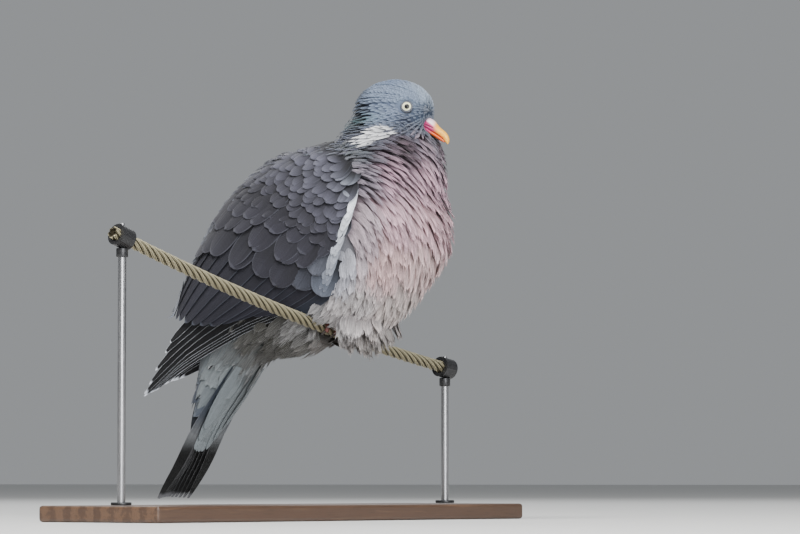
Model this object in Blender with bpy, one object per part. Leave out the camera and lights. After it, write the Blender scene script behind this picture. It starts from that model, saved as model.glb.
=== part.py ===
"""A wood pigeon perched on a short length of wire rope, as a still, life-size display model.

Solids only. Metres, +X the way the bird faces, +Y its left, +Z up; the origin is the middle of the
underside of the display base. Sizes below are in millimetres unless a name says degrees.
"""

import math

import bmesh
import bpy
import numpy as np
from mathutils import Vector

MM = 0.001
GAP = 0.3  # clearance between touching sub-parts
SLACK = 0.1  # a little more, where facets of two round faces meet

# The point under the belly that every bird size is measured from, above the base's middle.
GRIP_HEIGHT = 138.0
ROPE_HEADING_DEG = 75.0  # the rope's direction in plan, from the way the bird faces
ROPE_FORWARD = 5.0  # how far in front of the measuring point the rope passes
ROPE_DIAMETER = 9.4
ROPE_STRANDS = 6
ROPE_LAY = 70.0  # the length of one turn of a strand
ROPE_GROOVE = 0.8  # depth between two strands
ROPE_START, ROPE_END = -250.0, 137.0  # along the rope's plan direction
ROPE_RISE, ROPE_SLOPE, ROPE_SAG = 4.8, -0.213, 0.0002
ROD_NEAR, ROD_FAR = -240.0, 127.0
ROD_RADIUS = 3.0
CLAMP_RADIUS, CLAMP_LENGTH = 8.0, 13.0
ROD_HEADROOM = 2.2  # between a rod's top and the collar that it carries
BASE_LENGTH, BASE_WIDTH, BASE_THICKNESS, BASE_EDGE = 416.0, 120.0, 12.0, 2.5

# The trunk's long axis: a point on it and its pitch. Stations are distances forward along it.
AXIS_POINT = (-5.0, 70.0)
AXIS_PITCH_DEG = 47.0
# station: half width, middle height, top, bottom, pinch of the lower half
TRUNK = {
    95: (34, 2, 32, -32, -0.05),
    83: (50, 0, 44, -53, -0.08),
    70: (57.5, -3, 53, -66, -0.08),
    57: (62, -6, 60, -74, -0.08),
    34: (66, -8, 73, -77, -0.05),
    10: (67.5, -6, 82.5, -79, 0.06),
    -15: (66.5, -2, 87, -75, 0.25),
    -40: (63, 4, 86, -64, 0.45),
    -60: (57, 10, 81, -51, 0.48),
    -80: (47, 15, 70, -37, 0.35),
    -98: (35, 14, 52, -18, 0.15),
    -115: (26, 9, 37, -15, 0.0),
    -130: (22, 3, 22, -16, 0.0),
    -145: (20.5, -3, 12, -18, 0.0),
    -160: (20, -9, 2, -20, 0.0),
    -178: (19, -15, -8, -24, 0.0),
    -192: (14, -19, -14, -27, 0.0),
}
# The folded wing's outer face: the trunk's own face in front, then clear of it to the wing tip.
WING_FRONT = {station: row for station, row in TRUNK.items() if -45 < station < 90}
WING_FACE = WING_FRONT | {
    -60: (57.5, 10, 83, -52, 0.48),
    -80: (51, 17, 79, -45, 0.45),
    -100: (44.5, 22, 73, -35, 0.4),
    -120: (38, 26, 64, -25, 0.3),
    -139: (32, 30, 53, -10, 0.3),
}
PRIMARY_FACE = WING_FRONT | {
    -60: (56, 10, 83, -52, 0.48),
    -80: (49, 17, 79, -45, 0.45),
    -100: (41, 22, 74, -38, 0.3),
    -120: (33.5, 26, 72, -32, 0.1),
    -139: (27, 29, 70, -28, 0.0),
    -160: (20, 31, 68, -25, 0.0),
    -190: (11, 33, 66, -20, 0.0),
    -205: (8, 35, 66, -18, 0.0),
}
UPPER_PINCH = -0.06
# Height in the body: middle, reach forward, reach back, half width
NECK = {
    112: (32, 57, 40, 50),
    126: (32, 57, 44, 52),
    138: (34, 54, 38, 48),
    150: (40, 45, 35, 42),
    160: (44, 37, 35, 35),
    169: (48, 30, 33, 27),
    176: (50, 24, 26, 19),
}
BODY_VOXEL = 2.2  # the grain at which trunk, neck and head are blended
BODY_TRIANGLES = 2300
HEAD_CENTRE = (51.0, 173.5)
HEAD_REACH = (32.5, 34.0)  # forward, back
HEAD_HEIGHT = (25.5, 24.0)  # up, down
HEAD_HALF_WIDTH = 20.5
HEAD_FULLNESS = 2.15
# Planes that part head from neck and neck from trunk: a point on each and its tilt forward
HEAD_PLANE = ((45.0, 160.0), 12.0)
NECK_PLANE = ((36.0, 133.0), 16.0)

# Wing outlines: place across the feathers, (station, angle round the body in degrees)
COVERT_ROOTS = {0.0: (60, -8), 0.3: (67, 10), 0.6: (66, 32), 1.0: (56, 64)}
COVERT_TIPS = {
    0.0: (-16, -34),
    0.15: (-22, -21),
    0.3: (-32, -10),
    0.6: (-48, 20),
    0.8: (-60, 42),
    1.0: (-74, 66),
}
SECONDARY_ROOTS = {0.0: (-6, -34), 0.25: (-6, -20), 0.45: (-12, -5), 0.65: (-24, 18), 1.0: (-58, 70)}
SECONDARY_TIPS = {
    0.0: (-47, -33),
    0.2: (-62, -20),
    0.35: (-82, -10),
    0.5: (-102, 0),
    0.7: (-120, 28),
    0.85: (-127, 55),
    1.0: (-123, 78),
}
PRIMARY_ROOTS = {0.0: (-34, -35), 0.25: (-48, -16), 0.5: (-68, -5), 0.75: (-90, 6), 1.0: (-108, 24)}
PRIMARY_TIPS = {
    0.0: (-178, 2),
    0.14: (-190, 13),
    0.3: (-182, 15),
    0.5: (-168, 18),
    0.7: (-153, 20),
    0.85: (-140, 22),
    1.0: (-128, 25),
}
POCKET_END = -132.0  # the trunk lies clear of the wing behind this station
POCKET_ROOM = 0.5
POCKET_OPENING = 16.0
COVERT_LAYER = (0.0, 1.8)  # depth under the wing's face
SECONDARY_LAYER = (2.1, 3.4)
PRIMARY_LAYER = (3.7, 4.7)
WING_SHORT = {"right": 0.0, "left": 14.0}  # the far wing's tips stop short of the near wing's
WING_SHORT_FROM = -125.0  # only feathers that reach behind this station are shortened
WING_STEPS = 6

TAIL_ROOT = (-62.0, 4.0)
TAIL_PITCH_DEG = 56.0
TAIL_START, TAIL_LENGTH = 14.0, 150.0
TAIL_HALF_WIDTH = (17.0, 31.0)
TAIL_SPREAD = 0.6
TAIL_THICKNESS = (2.2, 1.2)
TAIL_ARCH = 6.0
TAIL_FEATHERS = 8
TAIL_TIP_ROUND = 3.0  # how far a feather's end is rounded
TAIL_END_ROUND = 3.5  # how far the outer feathers fall short of the middle ones
TAIL_SEAT = 11.3  # how deep the feathers' bases sit in the rump
UNDERTAIL = (22.0, 99.0)
UNDERTAIL_HALF_WIDTH = (26.0, 13.0)
UNDERTAIL_DEPTH = (17.0, 2.4)

EYE_RADIUS = 5.0
EYE_CENTRE = (68.2, 15.4, 175.3)
BILL_BASE = (75.0, 164.5)
BILL_PITCH_DEG = -32.5
BILL_LENGTH = 27.0
BILL_LOWER_SHARE = 0.87  # the lower half's length against the upper's
# Share of the bill's length: height of the culmen, mouth line and underside, and half width
BILL_TOP = {0.0: 4.0, 0.2: 4.7, 0.4: 4.4, 0.6: 3.5, 0.8: 2.3, 1.0: 0.2}
BILL_MOUTH = {0.0: -1.6, 0.3: -1.9, 0.6: -1.9, 0.8: -2.0, 1.0: -4.0}
BILL_BOTTOM = {0.0: -5.6, 0.3: -5.0, 0.6: -4.3, 0.85: -3.6, 1.0: -3.0}
BILL_HALF_WIDTH = {0.0: 4.6, 0.25: 4.4, 0.5: 3.4, 0.75: 2.5, 1.0: 1.0}
BILL_SEAT_RADIUS, BILL_SEAT_DEPTH = 6.0, 12.0

TOE_RADIUS = (2.3, 1.6)  # at the root and at the claw
TOE_START_DEG = -14
FOOT_PLACES = {"right": -12.0, "left": 19.0}  # along the rope
TOE_WRAP_DEG = {1: 124, -1: 98}
CLAW_START_DEG, CLAW_END_DEG = 10, 48  # past the toe's end
CLAW_RADII = (1.3, 1.15, 0.9, 0.55, 0.2)
SHANK_LEAN = (-0.25, 0.0, 1.0)
SHANK = {-0.6: 2.5, 3.0: 2.5, 10.0: 2.3, 17.0: 2.6}  # height above the rope: radius
FOOT_VOXEL = 0.55
FOOT_ROOM = 1.3  # clear space round a foot in the belly's feathers
FOOT_TRIANGLES = 340
# Toe: forward 1 or back -1, and how far its tip spreads along the rope
TOES = {"inner": (1, 10.0), "middle": (1, 0.0), "outer": (1, -10.0), "hind": (-1, 0.0)}

HEADING = math.radians(ROPE_HEADING_DEG)
ALONG = Vector((math.cos(HEADING), math.sin(HEADING), 0.0))
ACROSS = Vector((math.sin(HEADING), -math.cos(HEADING), 0.0))
BASE_MIDDLE = ALONG * ((ROD_NEAR + ROD_FAR) / 2) + ACROSS * ROPE_FORWARD
PLACE = Vector((-BASE_MIDDLE.x, -BASE_MIDDLE.y, GRIP_HEIGHT))


def clear_scene():
    """Remove whatever the scene holds."""
    for thing in list(bpy.data.objects):
        bpy.data.objects.remove(thing, do_unlink=True)


def along(table, place):
    """The row of a table at this place, on a smooth curve through its rows."""
    keys = sorted(table)
    rows = np.array([table[k] for k in keys], float)
    place = min(max(place, keys[0]), keys[-1])
    i = min(max(int(np.searchsorted(keys, place)) - 1, 0), len(keys) - 2)
    span = keys[i + 1] - keys[i]

    def slope(k):
        """The rise per unit at row k."""
        if k in (0, len(keys) - 1):
            j = min(k, len(keys) - 2)
            return (rows[j + 1] - rows[j]) / (keys[j + 1] - keys[j])
        return (rows[k + 1] - rows[k - 1]) / (keys[k + 1] - keys[k - 1])

    f = (place - keys[i]) / span
    a, b = rows[i], rows[i + 1]
    p, q = slope(i) * span, slope(i + 1) * span
    return (
        (2 * f**3 - 3 * f**2 + 1) * a
        + (f**3 - 2 * f**2 + f) * p
        + (3 * f**2 - 2 * f**3) * b
        + (f**3 - f**2) * q
    )


def material(name, colour, roughness, metallic=0.0):
    """The material of this name, made on first use."""
    made = bpy.data.materials.get(name) or bpy.data.materials.new(name)
    made.use_nodes = True
    shader = made.node_tree.nodes["Principled BSDF"]
    shader.inputs["Base Color"].default_value = (*colour, 1.0)
    shader.inputs["Roughness"].default_value = roughness
    shader.inputs["Metallic"].default_value = metallic
    return made


FINISHES = {
    "breast_plumage": ((0.52, 0.36, 0.36), 0.85, 0.0),
    "grey_plumage": ((0.25, 0.29, 0.36), 0.8, 0.0),
    "wing_plumage": ((0.17, 0.18, 0.21), 0.75, 0.0),
    "flight_feathers": ((0.05, 0.05, 0.06), 0.6, 0.0),
    "pale_plumage": ((0.42, 0.45, 0.48), 0.85, 0.0),
    "eye": ((0.75, 0.7, 0.4), 0.1, 0.0),
    "bill": ((0.7, 0.3, 0.25), 0.4, 0.0),
    "foot": ((0.3, 0.07, 0.06), 0.6, 0.0),
    "claw": ((0.03, 0.025, 0.02), 0.4, 0.0),
    "wire": ((0.3, 0.27, 0.17), 0.45, 1.0),
    "base_wood": ((0.12, 0.07, 0.04), 0.5, 0.0),
    "stand_metal": ((0.05, 0.05, 0.05), 0.4, 1.0),
}


def node(name, points, faces, finish, smooth=True):
    """A mesh object at the bird's place, from points in millimetres."""
    mesh = bpy.data.meshes.new(name)
    mesh.from_pydata([Vector(p) * MM for p in points], [], faces)
    shape = bmesh.new()
    shape.from_mesh(mesh)
    bmesh.ops.recalc_face_normals(shape, faces=shape.faces)
    if shape.calc_volume(signed=True) < 0:
        bmesh.ops.reverse_faces(shape, faces=shape.faces)
    shape.to_mesh(mesh)
    shape.free()
    made = bpy.data.objects.new(name, mesh)
    bpy.context.scene.collection.objects.link(made)
    made.location = PLACE * Vector((MM, MM, MM))
    mesh.materials.append(material(finish, *FINISHES[finish]))
    for face in mesh.polygons:
        face.use_smooth = smooth
    return made


def loft(name, rings, finish, smooth=True):
    """A closed skin through rings of equal count, with a fan at each end."""
    count = len(rings[0])
    points = [p for ring in rings for p in ring]
    faces = []
    for r in range(len(rings) - 1):
        for k in range(count):
            a, b = r * count + k, r * count + (k + 1) % count
            faces.append((a, b, b + count, a + count))
    for ring, start in ((rings[0], 0), (rings[-1], (len(rings) - 1) * count)):
        points.append(sum((Vector(p) for p in ring), Vector()) / count)
        middle = len(points) - 1
        faces += [(middle, start + (k + 1) % count, start + k) for k in range(count)]
    return node(name, points, faces, finish, smooth)


def slab(name, steps, across, point, finish):
    """A closed sheet: point(u, v, layer) for layer 0 (outer face) and 1 (inner face)."""
    points, faces = [], []
    wide = across + 1
    layer_size = (steps + 1) * wide
    for layer in (0, 1):
        for i in range(steps + 1):
            for j in range(wide):
                points.append(point(i / steps, j / across, layer))
    for layer in (0, 1):
        for i in range(steps):
            for j in range(across):
                a = layer * layer_size + i * wide + j
                for three in ((a, a + 1, a + 1 + wide), (a, a + 1 + wide, a + wide)):
                    faces.append(three if layer else three[::-1])
    rim = (
        [(0, j) for j in range(across)]
        + [(i, across) for i in range(steps)]
        + [(steps, j) for j in range(across, 0, -1)]
        + [(i, 0) for i in range(steps, 0, -1)]
    )
    for k, (i, j) in enumerate(rim):
        m, n = rim[(k + 1) % len(rim)]
        a, b = i * wide + j, m * wide + n
        faces.append((a, b, b + layer_size, a + layer_size))
    return node(name, points, faces, finish)


def bake(shape):
    """Fix the object's modifiers into its own mesh."""
    bpy.context.view_layer.update()
    graph = bpy.context.evaluated_depsgraph_get()
    mesh = bpy.data.meshes.new_from_object(shape.evaluated_get(graph))
    shape.modifiers.clear()
    shape.data = mesh


def helper(shape):
    """Mark a shape as a cutter that is not part of the model."""
    shape.hide_render = True
    shape.display_type = "WIRE"
    return shape


def combine(shape, other, operation):
    """Join, cut or intersect a shape with another one."""
    step = shape.modifiers.new(operation.lower(), "BOOLEAN")
    step.operation = operation
    step.solver = "EXACT"
    step.object = other


def drop(*shapes):
    """Remove shapes that have served."""
    for shape in shapes:
        bpy.data.objects.remove(shape, do_unlink=True)


def keep_largest(shape):
    """Fix the modifiers, then drop the crumbs that cutting left loose."""
    bake(shape)
    mesh = bmesh.new()
    mesh.from_mesh(shape.data)
    seen, islands = set(), []
    for start in mesh.verts:
        if start in seen:
            continue
        seen.add(start)
        island, queue = [], [start]
        while queue:
            vert = queue.pop()
            island.append(vert)
            for edge in vert.link_edges:
                other = edge.other_vert(vert)
                if other not in seen:
                    seen.add(other)
                    queue.append(other)
        islands.append(island)
    islands.sort(key=len)
    bmesh.ops.delete(mesh, geom=[v for island in islands[:-1] for v in island], context="VERTS")
    mesh.to_mesh(shape.data)
    mesh.free()


def body_point(station, height, sideways):
    """A point given along the trunk's axis, square above it, and to the bird's left."""
    pitch = math.radians(AXIS_PITCH_DEG)
    x, z = AXIS_POINT
    return Vector(
        (
            x + station * math.cos(pitch) - height * math.sin(pitch),
            sideways,
            z + station * math.sin(pitch) + height * math.cos(pitch),
        )
    )


def section(row, angle, inward=0.0, side=1.0):
    """(height, sideways) on a trunk or wing section at this angle above its widest line."""
    half_width, middle, top, bottom, pinch = row
    c, s = math.cos(angle), math.sin(angle)
    reach = top - middle if s >= 0 else middle - bottom
    pinch = UPPER_PINCH if s >= 0 else pinch
    wide = half_width * c * (1 - pinch * s * s)
    turn = half_width * s * (1 - pinch * s * s + 2 * pinch * c * c)
    out = Vector((reach * c, turn)).normalized()
    return middle + reach * s - inward * out.y, side * (wide - inward * out.x)


def trunk_loft():
    """The trunk, from the shoulders to the tail's root."""
    rings = []
    for station in np.linspace(max(TRUNK), min(TRUNK), 34):
        row = along(TRUNK, station)
        ring = []
        for k in range(40):
            height, sideways = section(row, 2 * math.pi * (k + 0.5) / 40)
            ring.append(body_point(station, height, sideways))
        rings.append(ring)
    return loft("body", rings, "breast_plumage")


def neck_loft():
    """The fluffed neck."""
    rings = []
    for height in np.linspace(min(NECK), max(NECK), 14):
        middle, forward, back, half_width = along(NECK, height)
        ring = []
        for k in range(36):
            angle = 2 * math.pi * k / 36
            reach = forward if math.cos(angle) > 0 else back
            ring.append((middle + reach * math.cos(angle), half_width * math.sin(angle), height))
        rings.append(ring)
    return loft("neck_form", rings, "grey_plumage")


def head_loft():
    """The round head."""
    rings = []
    for k in range(1, 18):
        place = math.pi * k / 18
        reach = HEAD_REACH[0] if math.cos(place) > 0 else HEAD_REACH[1]
        x = HEAD_CENTRE[0] + reach * math.cos(place)
        size = math.sin(place) ** (2 / HEAD_FULLNESS)
        ring = []
        for j in range(32):
            angle = 2 * math.pi * (j + 0.5) / 32
            high = HEAD_HEIGHT[0] if math.sin(angle) > 0 else HEAD_HEIGHT[1]
            ring.append(
                (
                    x,
                    HEAD_HALF_WIDTH * size * math.cos(angle),
                    HEAD_CENTRE[1] + high * size * math.sin(angle),
                )
            )
        rings.append(ring)
    return loft("head_form", rings, "grey_plumage")


def whole_body():
    """Trunk, neck and head blended into one even skin."""
    body, neck, head = trunk_loft(), neck_loft(), head_loft()
    combine(body, neck, "UNION")
    bake(body)
    combine(body, head, "UNION")
    bake(body)
    drop(neck, head)
    even = body.modifiers.new("even", "REMESH")
    even.mode = "VOXEL"
    even.voxel_size = BODY_VOXEL * MM
    soften = body.modifiers.new("soften", "SMOOTH")
    soften.factor, soften.iterations = 0.5, 12
    bake(body)
    fewer = body.modifiers.new("fewer", "DECIMATE")
    fewer.ratio = BODY_TRIANGLES / (2 * len(body.data.polygons))
    fewer.use_symmetry, fewer.symmetry_axis = True, "Y"
    bake(body)
    return body


def lift(depth, count, v):
    """How far a feather's rounded end falls short of its tip, across a row of feathers."""
    f = v * count % 1.0
    return depth * (1 - math.sqrt(max(0.0, 1 - (2 * f - 1) ** 2)))


def wing_sheet(name, side, face, roots, tips, layer, feathers, depth, finish, grow=0.0):
    """One group of wing feathers on the wing's face; grow makes the pocket it lies in."""
    sign = -1.0 if side == "right" else 1.0
    outer, inner = layer
    if grow:
        outer, inner = outer - POCKET_OPENING, inner + grow

    def point(u, v, which):
        root, tip = along(roots, v), along(tips, v)
        start = root[0] + 3 * grow
        end = tip[0] - 3 * grow + (0 if grow else lift(depth, feathers, v))
        if tip[0] < WING_SHORT_FROM:
            end += WING_SHORT[side]
        if grow and end < POCKET_END:
            u *= (start - POCKET_END) / (start - end)
        station = start + (end - start) * u
        edge = (1 if v == 1 else -1 if v == 0 else 0) * 3 * grow
        angle = math.radians(root[1] + (tip[1] - root[1]) * u + edge)
        row = along(face, station)
        thin = 1.0 if grow else min(1.0, 0.55 + 2.5 * (1 - u)) if which else 0.0
        inward = outer + (inner - outer) * thin if which else outer
        height, sideways = section(row, angle, inward, sign)
        return body_point(station, height, sideways)

    return slab(name, WING_STEPS, 2 * feathers, point, finish)


# Group: face, roots, tips, layer, number of feathers, how far their ends are rounded, finish
WING_GROUPS = {
    "coverts": (WING_FACE, COVERT_ROOTS, COVERT_TIPS, COVERT_LAYER, 7, 3.0, "wing_plumage"),
    "secondaries": (WING_FACE, SECONDARY_ROOTS, SECONDARY_TIPS, SECONDARY_LAYER, 8, 4.0, "wing_plumage"),
    "primaries": (PRIMARY_FACE, PRIMARY_ROOTS, PRIMARY_TIPS, PRIMARY_LAYER, 7, 6.0, "flight_feathers"),
}


def tail_point(forward, under, sideways):
    """A point along the tail from its root, below its sheet, and to the bird's left."""
    pitch = math.radians(TAIL_PITCH_DEG)
    return Vector(
        (
            TAIL_ROOT[0] - forward * math.cos(pitch) + under * math.sin(pitch),
            sideways,
            TAIL_ROOT[1] - forward * math.sin(pitch) - under * math.cos(pitch),
        )
    )


def tail_droop(u, across):
    """How far the tail's sheet hangs below its middle feather."""
    return TAIL_ARCH * across * across * (0.6 + 0.4 * u)


def between(ends, share):
    """The value this share of the way between two ends."""
    return ends[0] + (ends[1] - ends[0]) * share


def tail_share(forward):
    """How far along the tail a place is, from 0 where it leaves the rump to 1 at its end."""
    return max(0.0, (forward - TAIL_START) / (TAIL_LENGTH - TAIL_START))


def tail_half_width(u):
    """Half the tail's width at this share of its length."""
    return between(TAIL_HALF_WIDTH, u**TAIL_SPREAD)


def tail_feathers():
    """The closed tail, one sheet with rounded feather ends."""

    def point(u, v, which):
        across = 2 * v - 1
        half = tail_half_width(u)
        rounded = lift(TAIL_TIP_ROUND, TAIL_FEATHERS, v)
        end = TAIL_LENGTH - TAIL_END_ROUND * across * across - rounded
        thick = between(TAIL_THICKNESS, u) * (1 - 0.45 * abs(across) ** 3)
        forward = TAIL_START + (end - TAIL_START) * u
        return tail_point(forward, tail_droop(u, across) + thick * which, half * across)

    return slab("tail_feathers", 6, 2 * TAIL_FEATHERS, point, "flight_feathers")


def undertail_coverts():
    """The thick pad of feathers under the tail's root."""
    start, end = UNDERTAIL
    thick = TAIL_THICKNESS[0] + GAP + SLACK
    rings = []
    for i in range(10):
        u = i / 9
        forward = start + (end - start) * u
        tail_u = tail_share(forward)
        tail_half = tail_half_width(tail_u)
        half = min(between(UNDERTAIL_HALF_WIDTH, u), tail_half - 1.0)
        deep = between(UNDERTAIL_DEPTH, u**0.7)
        upper, lower = [], []
        for k in range(9):
            across = -1 + 2 * k / 8
            roof = tail_droop(tail_u, across * half / tail_half) + thick
            upper.append(tail_point(forward, roof, half * across))
            bulge = deep * math.sqrt(max(0.0, 1 - across * across))
            lower.append(tail_point(forward, roof + 0.7 + bulge, half * across))
        rings.append(upper + lower[::-1])
    return loft("undertail_coverts", rings, "pale_plumage")


def tail_room():
    """Everything below the tail's upper face, behind the vent, kept clear of the trunk."""
    length, half_room, depth = 140.0, 60.0, 90.0

    def point(u, v, which):
        across = 2 * v - 1
        forward = UNDERTAIL[0] - GAP + length * u
        tail_u = tail_share(forward)
        reach = max(-1.15, min(1.15, half_room * across / tail_half_width(tail_u)))
        roof = tail_droop(tail_u, reach) - GAP
        return tail_point(forward, depth if which else roof, half_room * across)

    return slab("tail_room", 8, 48, point, "pale_plumage")


def tail_slot():
    """The seat of the tail feathers' bases in the rump."""

    def point(u, v, which):
        across = 2 * v - 1
        forward = TAIL_START - GAP + TAIL_SEAT * u
        tail_u = tail_share(forward)
        droop = tail_droop(tail_u, across * 1.06)
        deep = TAIL_THICKNESS[0] + GAP if which else -GAP - 0.08
        return tail_point(forward, droop + deep, (tail_half_width(tail_u) + 2 * GAP) * across)

    return slab("tail_slot", 3, 2 * TAIL_FEATHERS, point, "pale_plumage")


def rope_point(s):
    """The rope's middle line."""
    high = ROPE_RISE + ROPE_SLOPE * s + ROPE_SAG * s * s
    return ALONG * s + ACROSS * ROPE_FORWARD + Vector((0, 0, high))


def rope_frame(s):
    """The rope's own direction here, its front and its upper side."""
    tangent = (rope_point(s + 1) - rope_point(s - 1)).normalized()
    front = ACROSS
    return tangent, front, front.cross(tangent).normalized()


def rope_loft(name, start, end, steps, lay, radii):
    """A rope of this many steps whose rings alternate between two radii and turn with the lay."""
    sides = 2 * ROPE_STRANDS
    rings = []
    for i in range(steps + 1):
        s = start + (end - start) * i / steps
        _, front, up = rope_frame(s)
        ring = []
        for k in range(sides):
            angle = 2 * math.pi * (k / sides + s / lay)
            out = front * math.cos(angle) + up * math.sin(angle)
            ring.append(rope_point(s) + out * radii[k % 2])
        rings.append(ring)
    return loft(name, rings, "wire")


def wire_rope():
    """The stranded rope that the bird grips."""
    radius = ROPE_DIAMETER / 2
    return rope_loft("perch_wire", ROPE_START, ROPE_END, 32, ROPE_LAY, (radius, radius - ROPE_GROOVE))


def rope_room():
    """A plain round space for the rope, a little longer than it."""
    radius = (ROPE_DIAMETER / 2 + GAP) / math.cos(math.pi / (2 * ROPE_STRANDS))
    return rope_loft("rope_room", ROPE_START - 5, ROPE_END + 5, 12, math.inf, (radius, radius))


def tube(name, path, radii, finish, sides=8):
    """A round limb along a path of points."""
    path = [Vector(p) for p in path]
    rings = []
    side = None
    for i, p in enumerate(path):
        ahead = path[min(i + 1, len(path) - 1)] - path[max(i - 1, 0)]
        ahead.normalize()
        if side is None:
            side = ahead.orthogonal().normalized()
        side = (side - ahead * side.dot(ahead)).normalized()
        up = ahead.cross(side)
        rings.append(
            [
                p + radii[i] * (side * math.cos(a) + up * math.sin(a))
                for a in (2 * math.pi * k / sides for k in range(sides))
            ]
        )
    return loft(name, rings, finish)


def toe_path(place, way, spread, start_deg, end_deg, radius, steps):
    """Points round the rope from its top, forward (way 1) or back (way -1)."""
    path = []
    for i in range(steps + 1):
        f = i / steps
        angle = math.radians(start_deg + (end_deg - start_deg) * f)
        s = place + spread * min(1.0, (angle + 0.35) / 1.6)
        _, front, up = rope_frame(s)
        ring = ROPE_DIAMETER / 2 + GAP + radius
        path.append(rope_point(s) + front * way * ring * math.sin(angle) + up * ring * math.cos(angle))
    return path


def foot(side, grow=0.0):
    """Shank and toes in one piece, wrapped round the rope; grow makes the space it lies in."""
    place = FOOT_PLACES[side]
    parts = []
    steps = 9
    for toe, (way, spread) in TOES.items():
        path = toe_path(place, way, spread, TOE_START_DEG, TOE_WRAP_DEG[way], TOE_RADIUS[0], steps)
        radii = [between(TOE_RADIUS, (k / steps) ** 1.5) + grow for k in range(steps + 1)]
        parts.append(tube(f"toe_{toe}", path, radii, "foot"))
    top = rope_point(place) + Vector((0, 0, ROPE_DIAMETER / 2 + GAP + TOE_RADIUS[0]))
    lean = Vector(SHANK_LEAN).normalized()
    heights = list(SHANK)
    heights[0] -= grow
    heights[-1] += grow
    shank = [top + lean * h for h in heights]
    parts.append(tube("shank", shank, [radius + grow for radius in SHANK.values()], "foot"))
    whole = parts[0]
    for other in parts[1:]:
        shape = bmesh.new()
        shape.from_mesh(whole.data)
        shape.from_mesh(other.data)
        shape.to_mesh(whole.data)
        shape.free()
        drop(other)
    blend = whole.modifiers.new("blend", "REMESH")
    blend.mode = "VOXEL"
    blend.voxel_size = FOOT_VOXEL * MM
    bake(whole)
    fewer = whole.modifiers.new("fewer", "DECIMATE")
    fewer.ratio = FOOT_TRIANGLES / (2 * len(whole.data.polygons))
    bake(whole)
    whole.name = f"leg_{side}" if not grow else f"leg_{side}_room"
    return whole


def claw(side, toe, grow=0.0):
    """One claw, past its toe's end; grow makes the space it lies in."""
    way, spread = TOES[toe]
    longer = 3 * grow / GAP
    first = TOE_WRAP_DEG[way] + CLAW_START_DEG - longer
    last = TOE_WRAP_DEG[way] + CLAW_END_DEG + longer
    path = toe_path(FOOT_PLACES[side], way, spread, first, last, TOE_RADIUS[1] * 0.9, len(CLAW_RADII) - 1)
    name = f"claw_{side}_{toe}" + ("_room" if grow else "")
    return tube(name, path, [r + grow for r in CLAW_RADII], "claw", 6)


def bill_half(name, upper):
    """One mandible: D-shaped rings along the bill, meeting its fellow at the mouth line."""
    pitch = math.radians(BILL_PITCH_DEG)
    ahead = Vector((math.cos(pitch), 0, math.sin(pitch)))
    above = Vector((-math.sin(pitch), 0, math.cos(pitch)))
    start = Vector((BILL_BASE[0], 0, BILL_BASE[1]))
    rings = []
    last = 1.0 if upper else BILL_LOWER_SHARE
    for i in range(9):
        u = last * i / 8
        mouth, wide = along(BILL_MOUTH, u), along(BILL_HALF_WIDTH, u)
        if upper:
            edge, far = mouth + GAP / 2, along(BILL_TOP, u)
        else:
            edge = mouth - GAP / 2
            far = min(along(BILL_BOTTOM, u), edge - 0.9)
            wide *= 0.9
        ring = []
        for k in range(9):
            angle = math.pi * k / 8
            bulge = math.sin(angle) ** 0.8 if 0 < k < 8 else 0.0
            high = edge + (far - edge) * bulge
            sideways = Vector((0, wide * math.cos(angle), 0))
            ring.append(start + ahead * (BILL_LENGTH * u) + above * high + sideways)
        rings.append(ring)
    return loft(name, rings, "bill")


def ball(name, centre, radius, finish, rings=8, around=12):
    """A ball with its poles to the left and right."""
    rows = []
    for i in range(1, rings):
        place = math.pi * i / rings
        middle = Vector(centre) + Vector((0, radius * math.cos(place), 0))
        row = []
        for k in range(around):
            turn = 2 * math.pi * k / around
            row.append(middle + radius * math.sin(place) * Vector((math.cos(turn), 0, math.sin(turn))))
        rows.append(row)
    return loft(name, rows, finish)


def plane_block(name, plane, keep_above):
    """A large block on one side of a plane across the neck, half a gap from it."""
    size = 400.0
    middle, tilt_deg = plane
    tilt = math.radians(tilt_deg)
    up = Vector((math.sin(tilt), 0, math.cos(tilt)))
    ahead = Vector((math.cos(tilt), 0, -math.sin(tilt)))
    near = up * (GAP / 2 if keep_above else -GAP / 2)
    far = up * (size if keep_above else -size)
    centre = Vector((middle[0], 0, middle[1]))
    points = []
    for level in (near, far):
        for a, b in ((-1, -1), (1, -1), (1, 1), (-1, 1)):
            points.append(centre + level + ahead * size * a + Vector((0, size * b, 0)))
    faces = [(0, 1, 2, 3), (7, 6, 5, 4)] + [(k, (k + 1) % 4, (k + 1) % 4 + 4, k + 4) for k in range(4)]
    return helper(node(name, points, faces, "grey_plumage", smooth=False))


def copy_of(shape, name, finish):
    """A copy of a shape with its own mesh and finish."""
    made = bpy.data.objects.new(name, shape.data.copy())
    bpy.context.scene.collection.objects.link(made)
    made.location = shape.location
    made.data.materials.clear()
    made.data.materials.append(material(finish, *FINISHES[finish]))
    for face in made.data.polygons:
        face.use_smooth = True
        face.material_index = 0
    return made


def cut_wings(trunk, neck):
    """The folded wings, and the pockets that they lie in."""
    for side in WING_SHORT:
        for name, shape in WING_GROUPS.items():
            wing_sheet(f"wing_{side}_{name}", side, *shape)
            pocket = wing_sheet(f"pocket_{side}_{name}", side, *shape, grow=POCKET_ROOM)
            combine(trunk, helper(pocket), "DIFFERENCE")
            if name == "coverts":
                combine(neck, pocket, "DIFFERENCE")


def cut_eyes(head):
    """The eyes in their sockets."""
    for side, sign in (("right", -1), ("left", 1)):
        centre = (EYE_CENTRE[0], sign * EYE_CENTRE[1], EYE_CENTRE[2])
        ball(f"eye_{side}", centre, EYE_RADIUS, "eye")
        socket = ball(f"socket_{side}", centre, EYE_RADIUS + GAP + SLACK + 0.05, "eye")
        combine(head, helper(socket), "DIFFERENCE")


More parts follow.
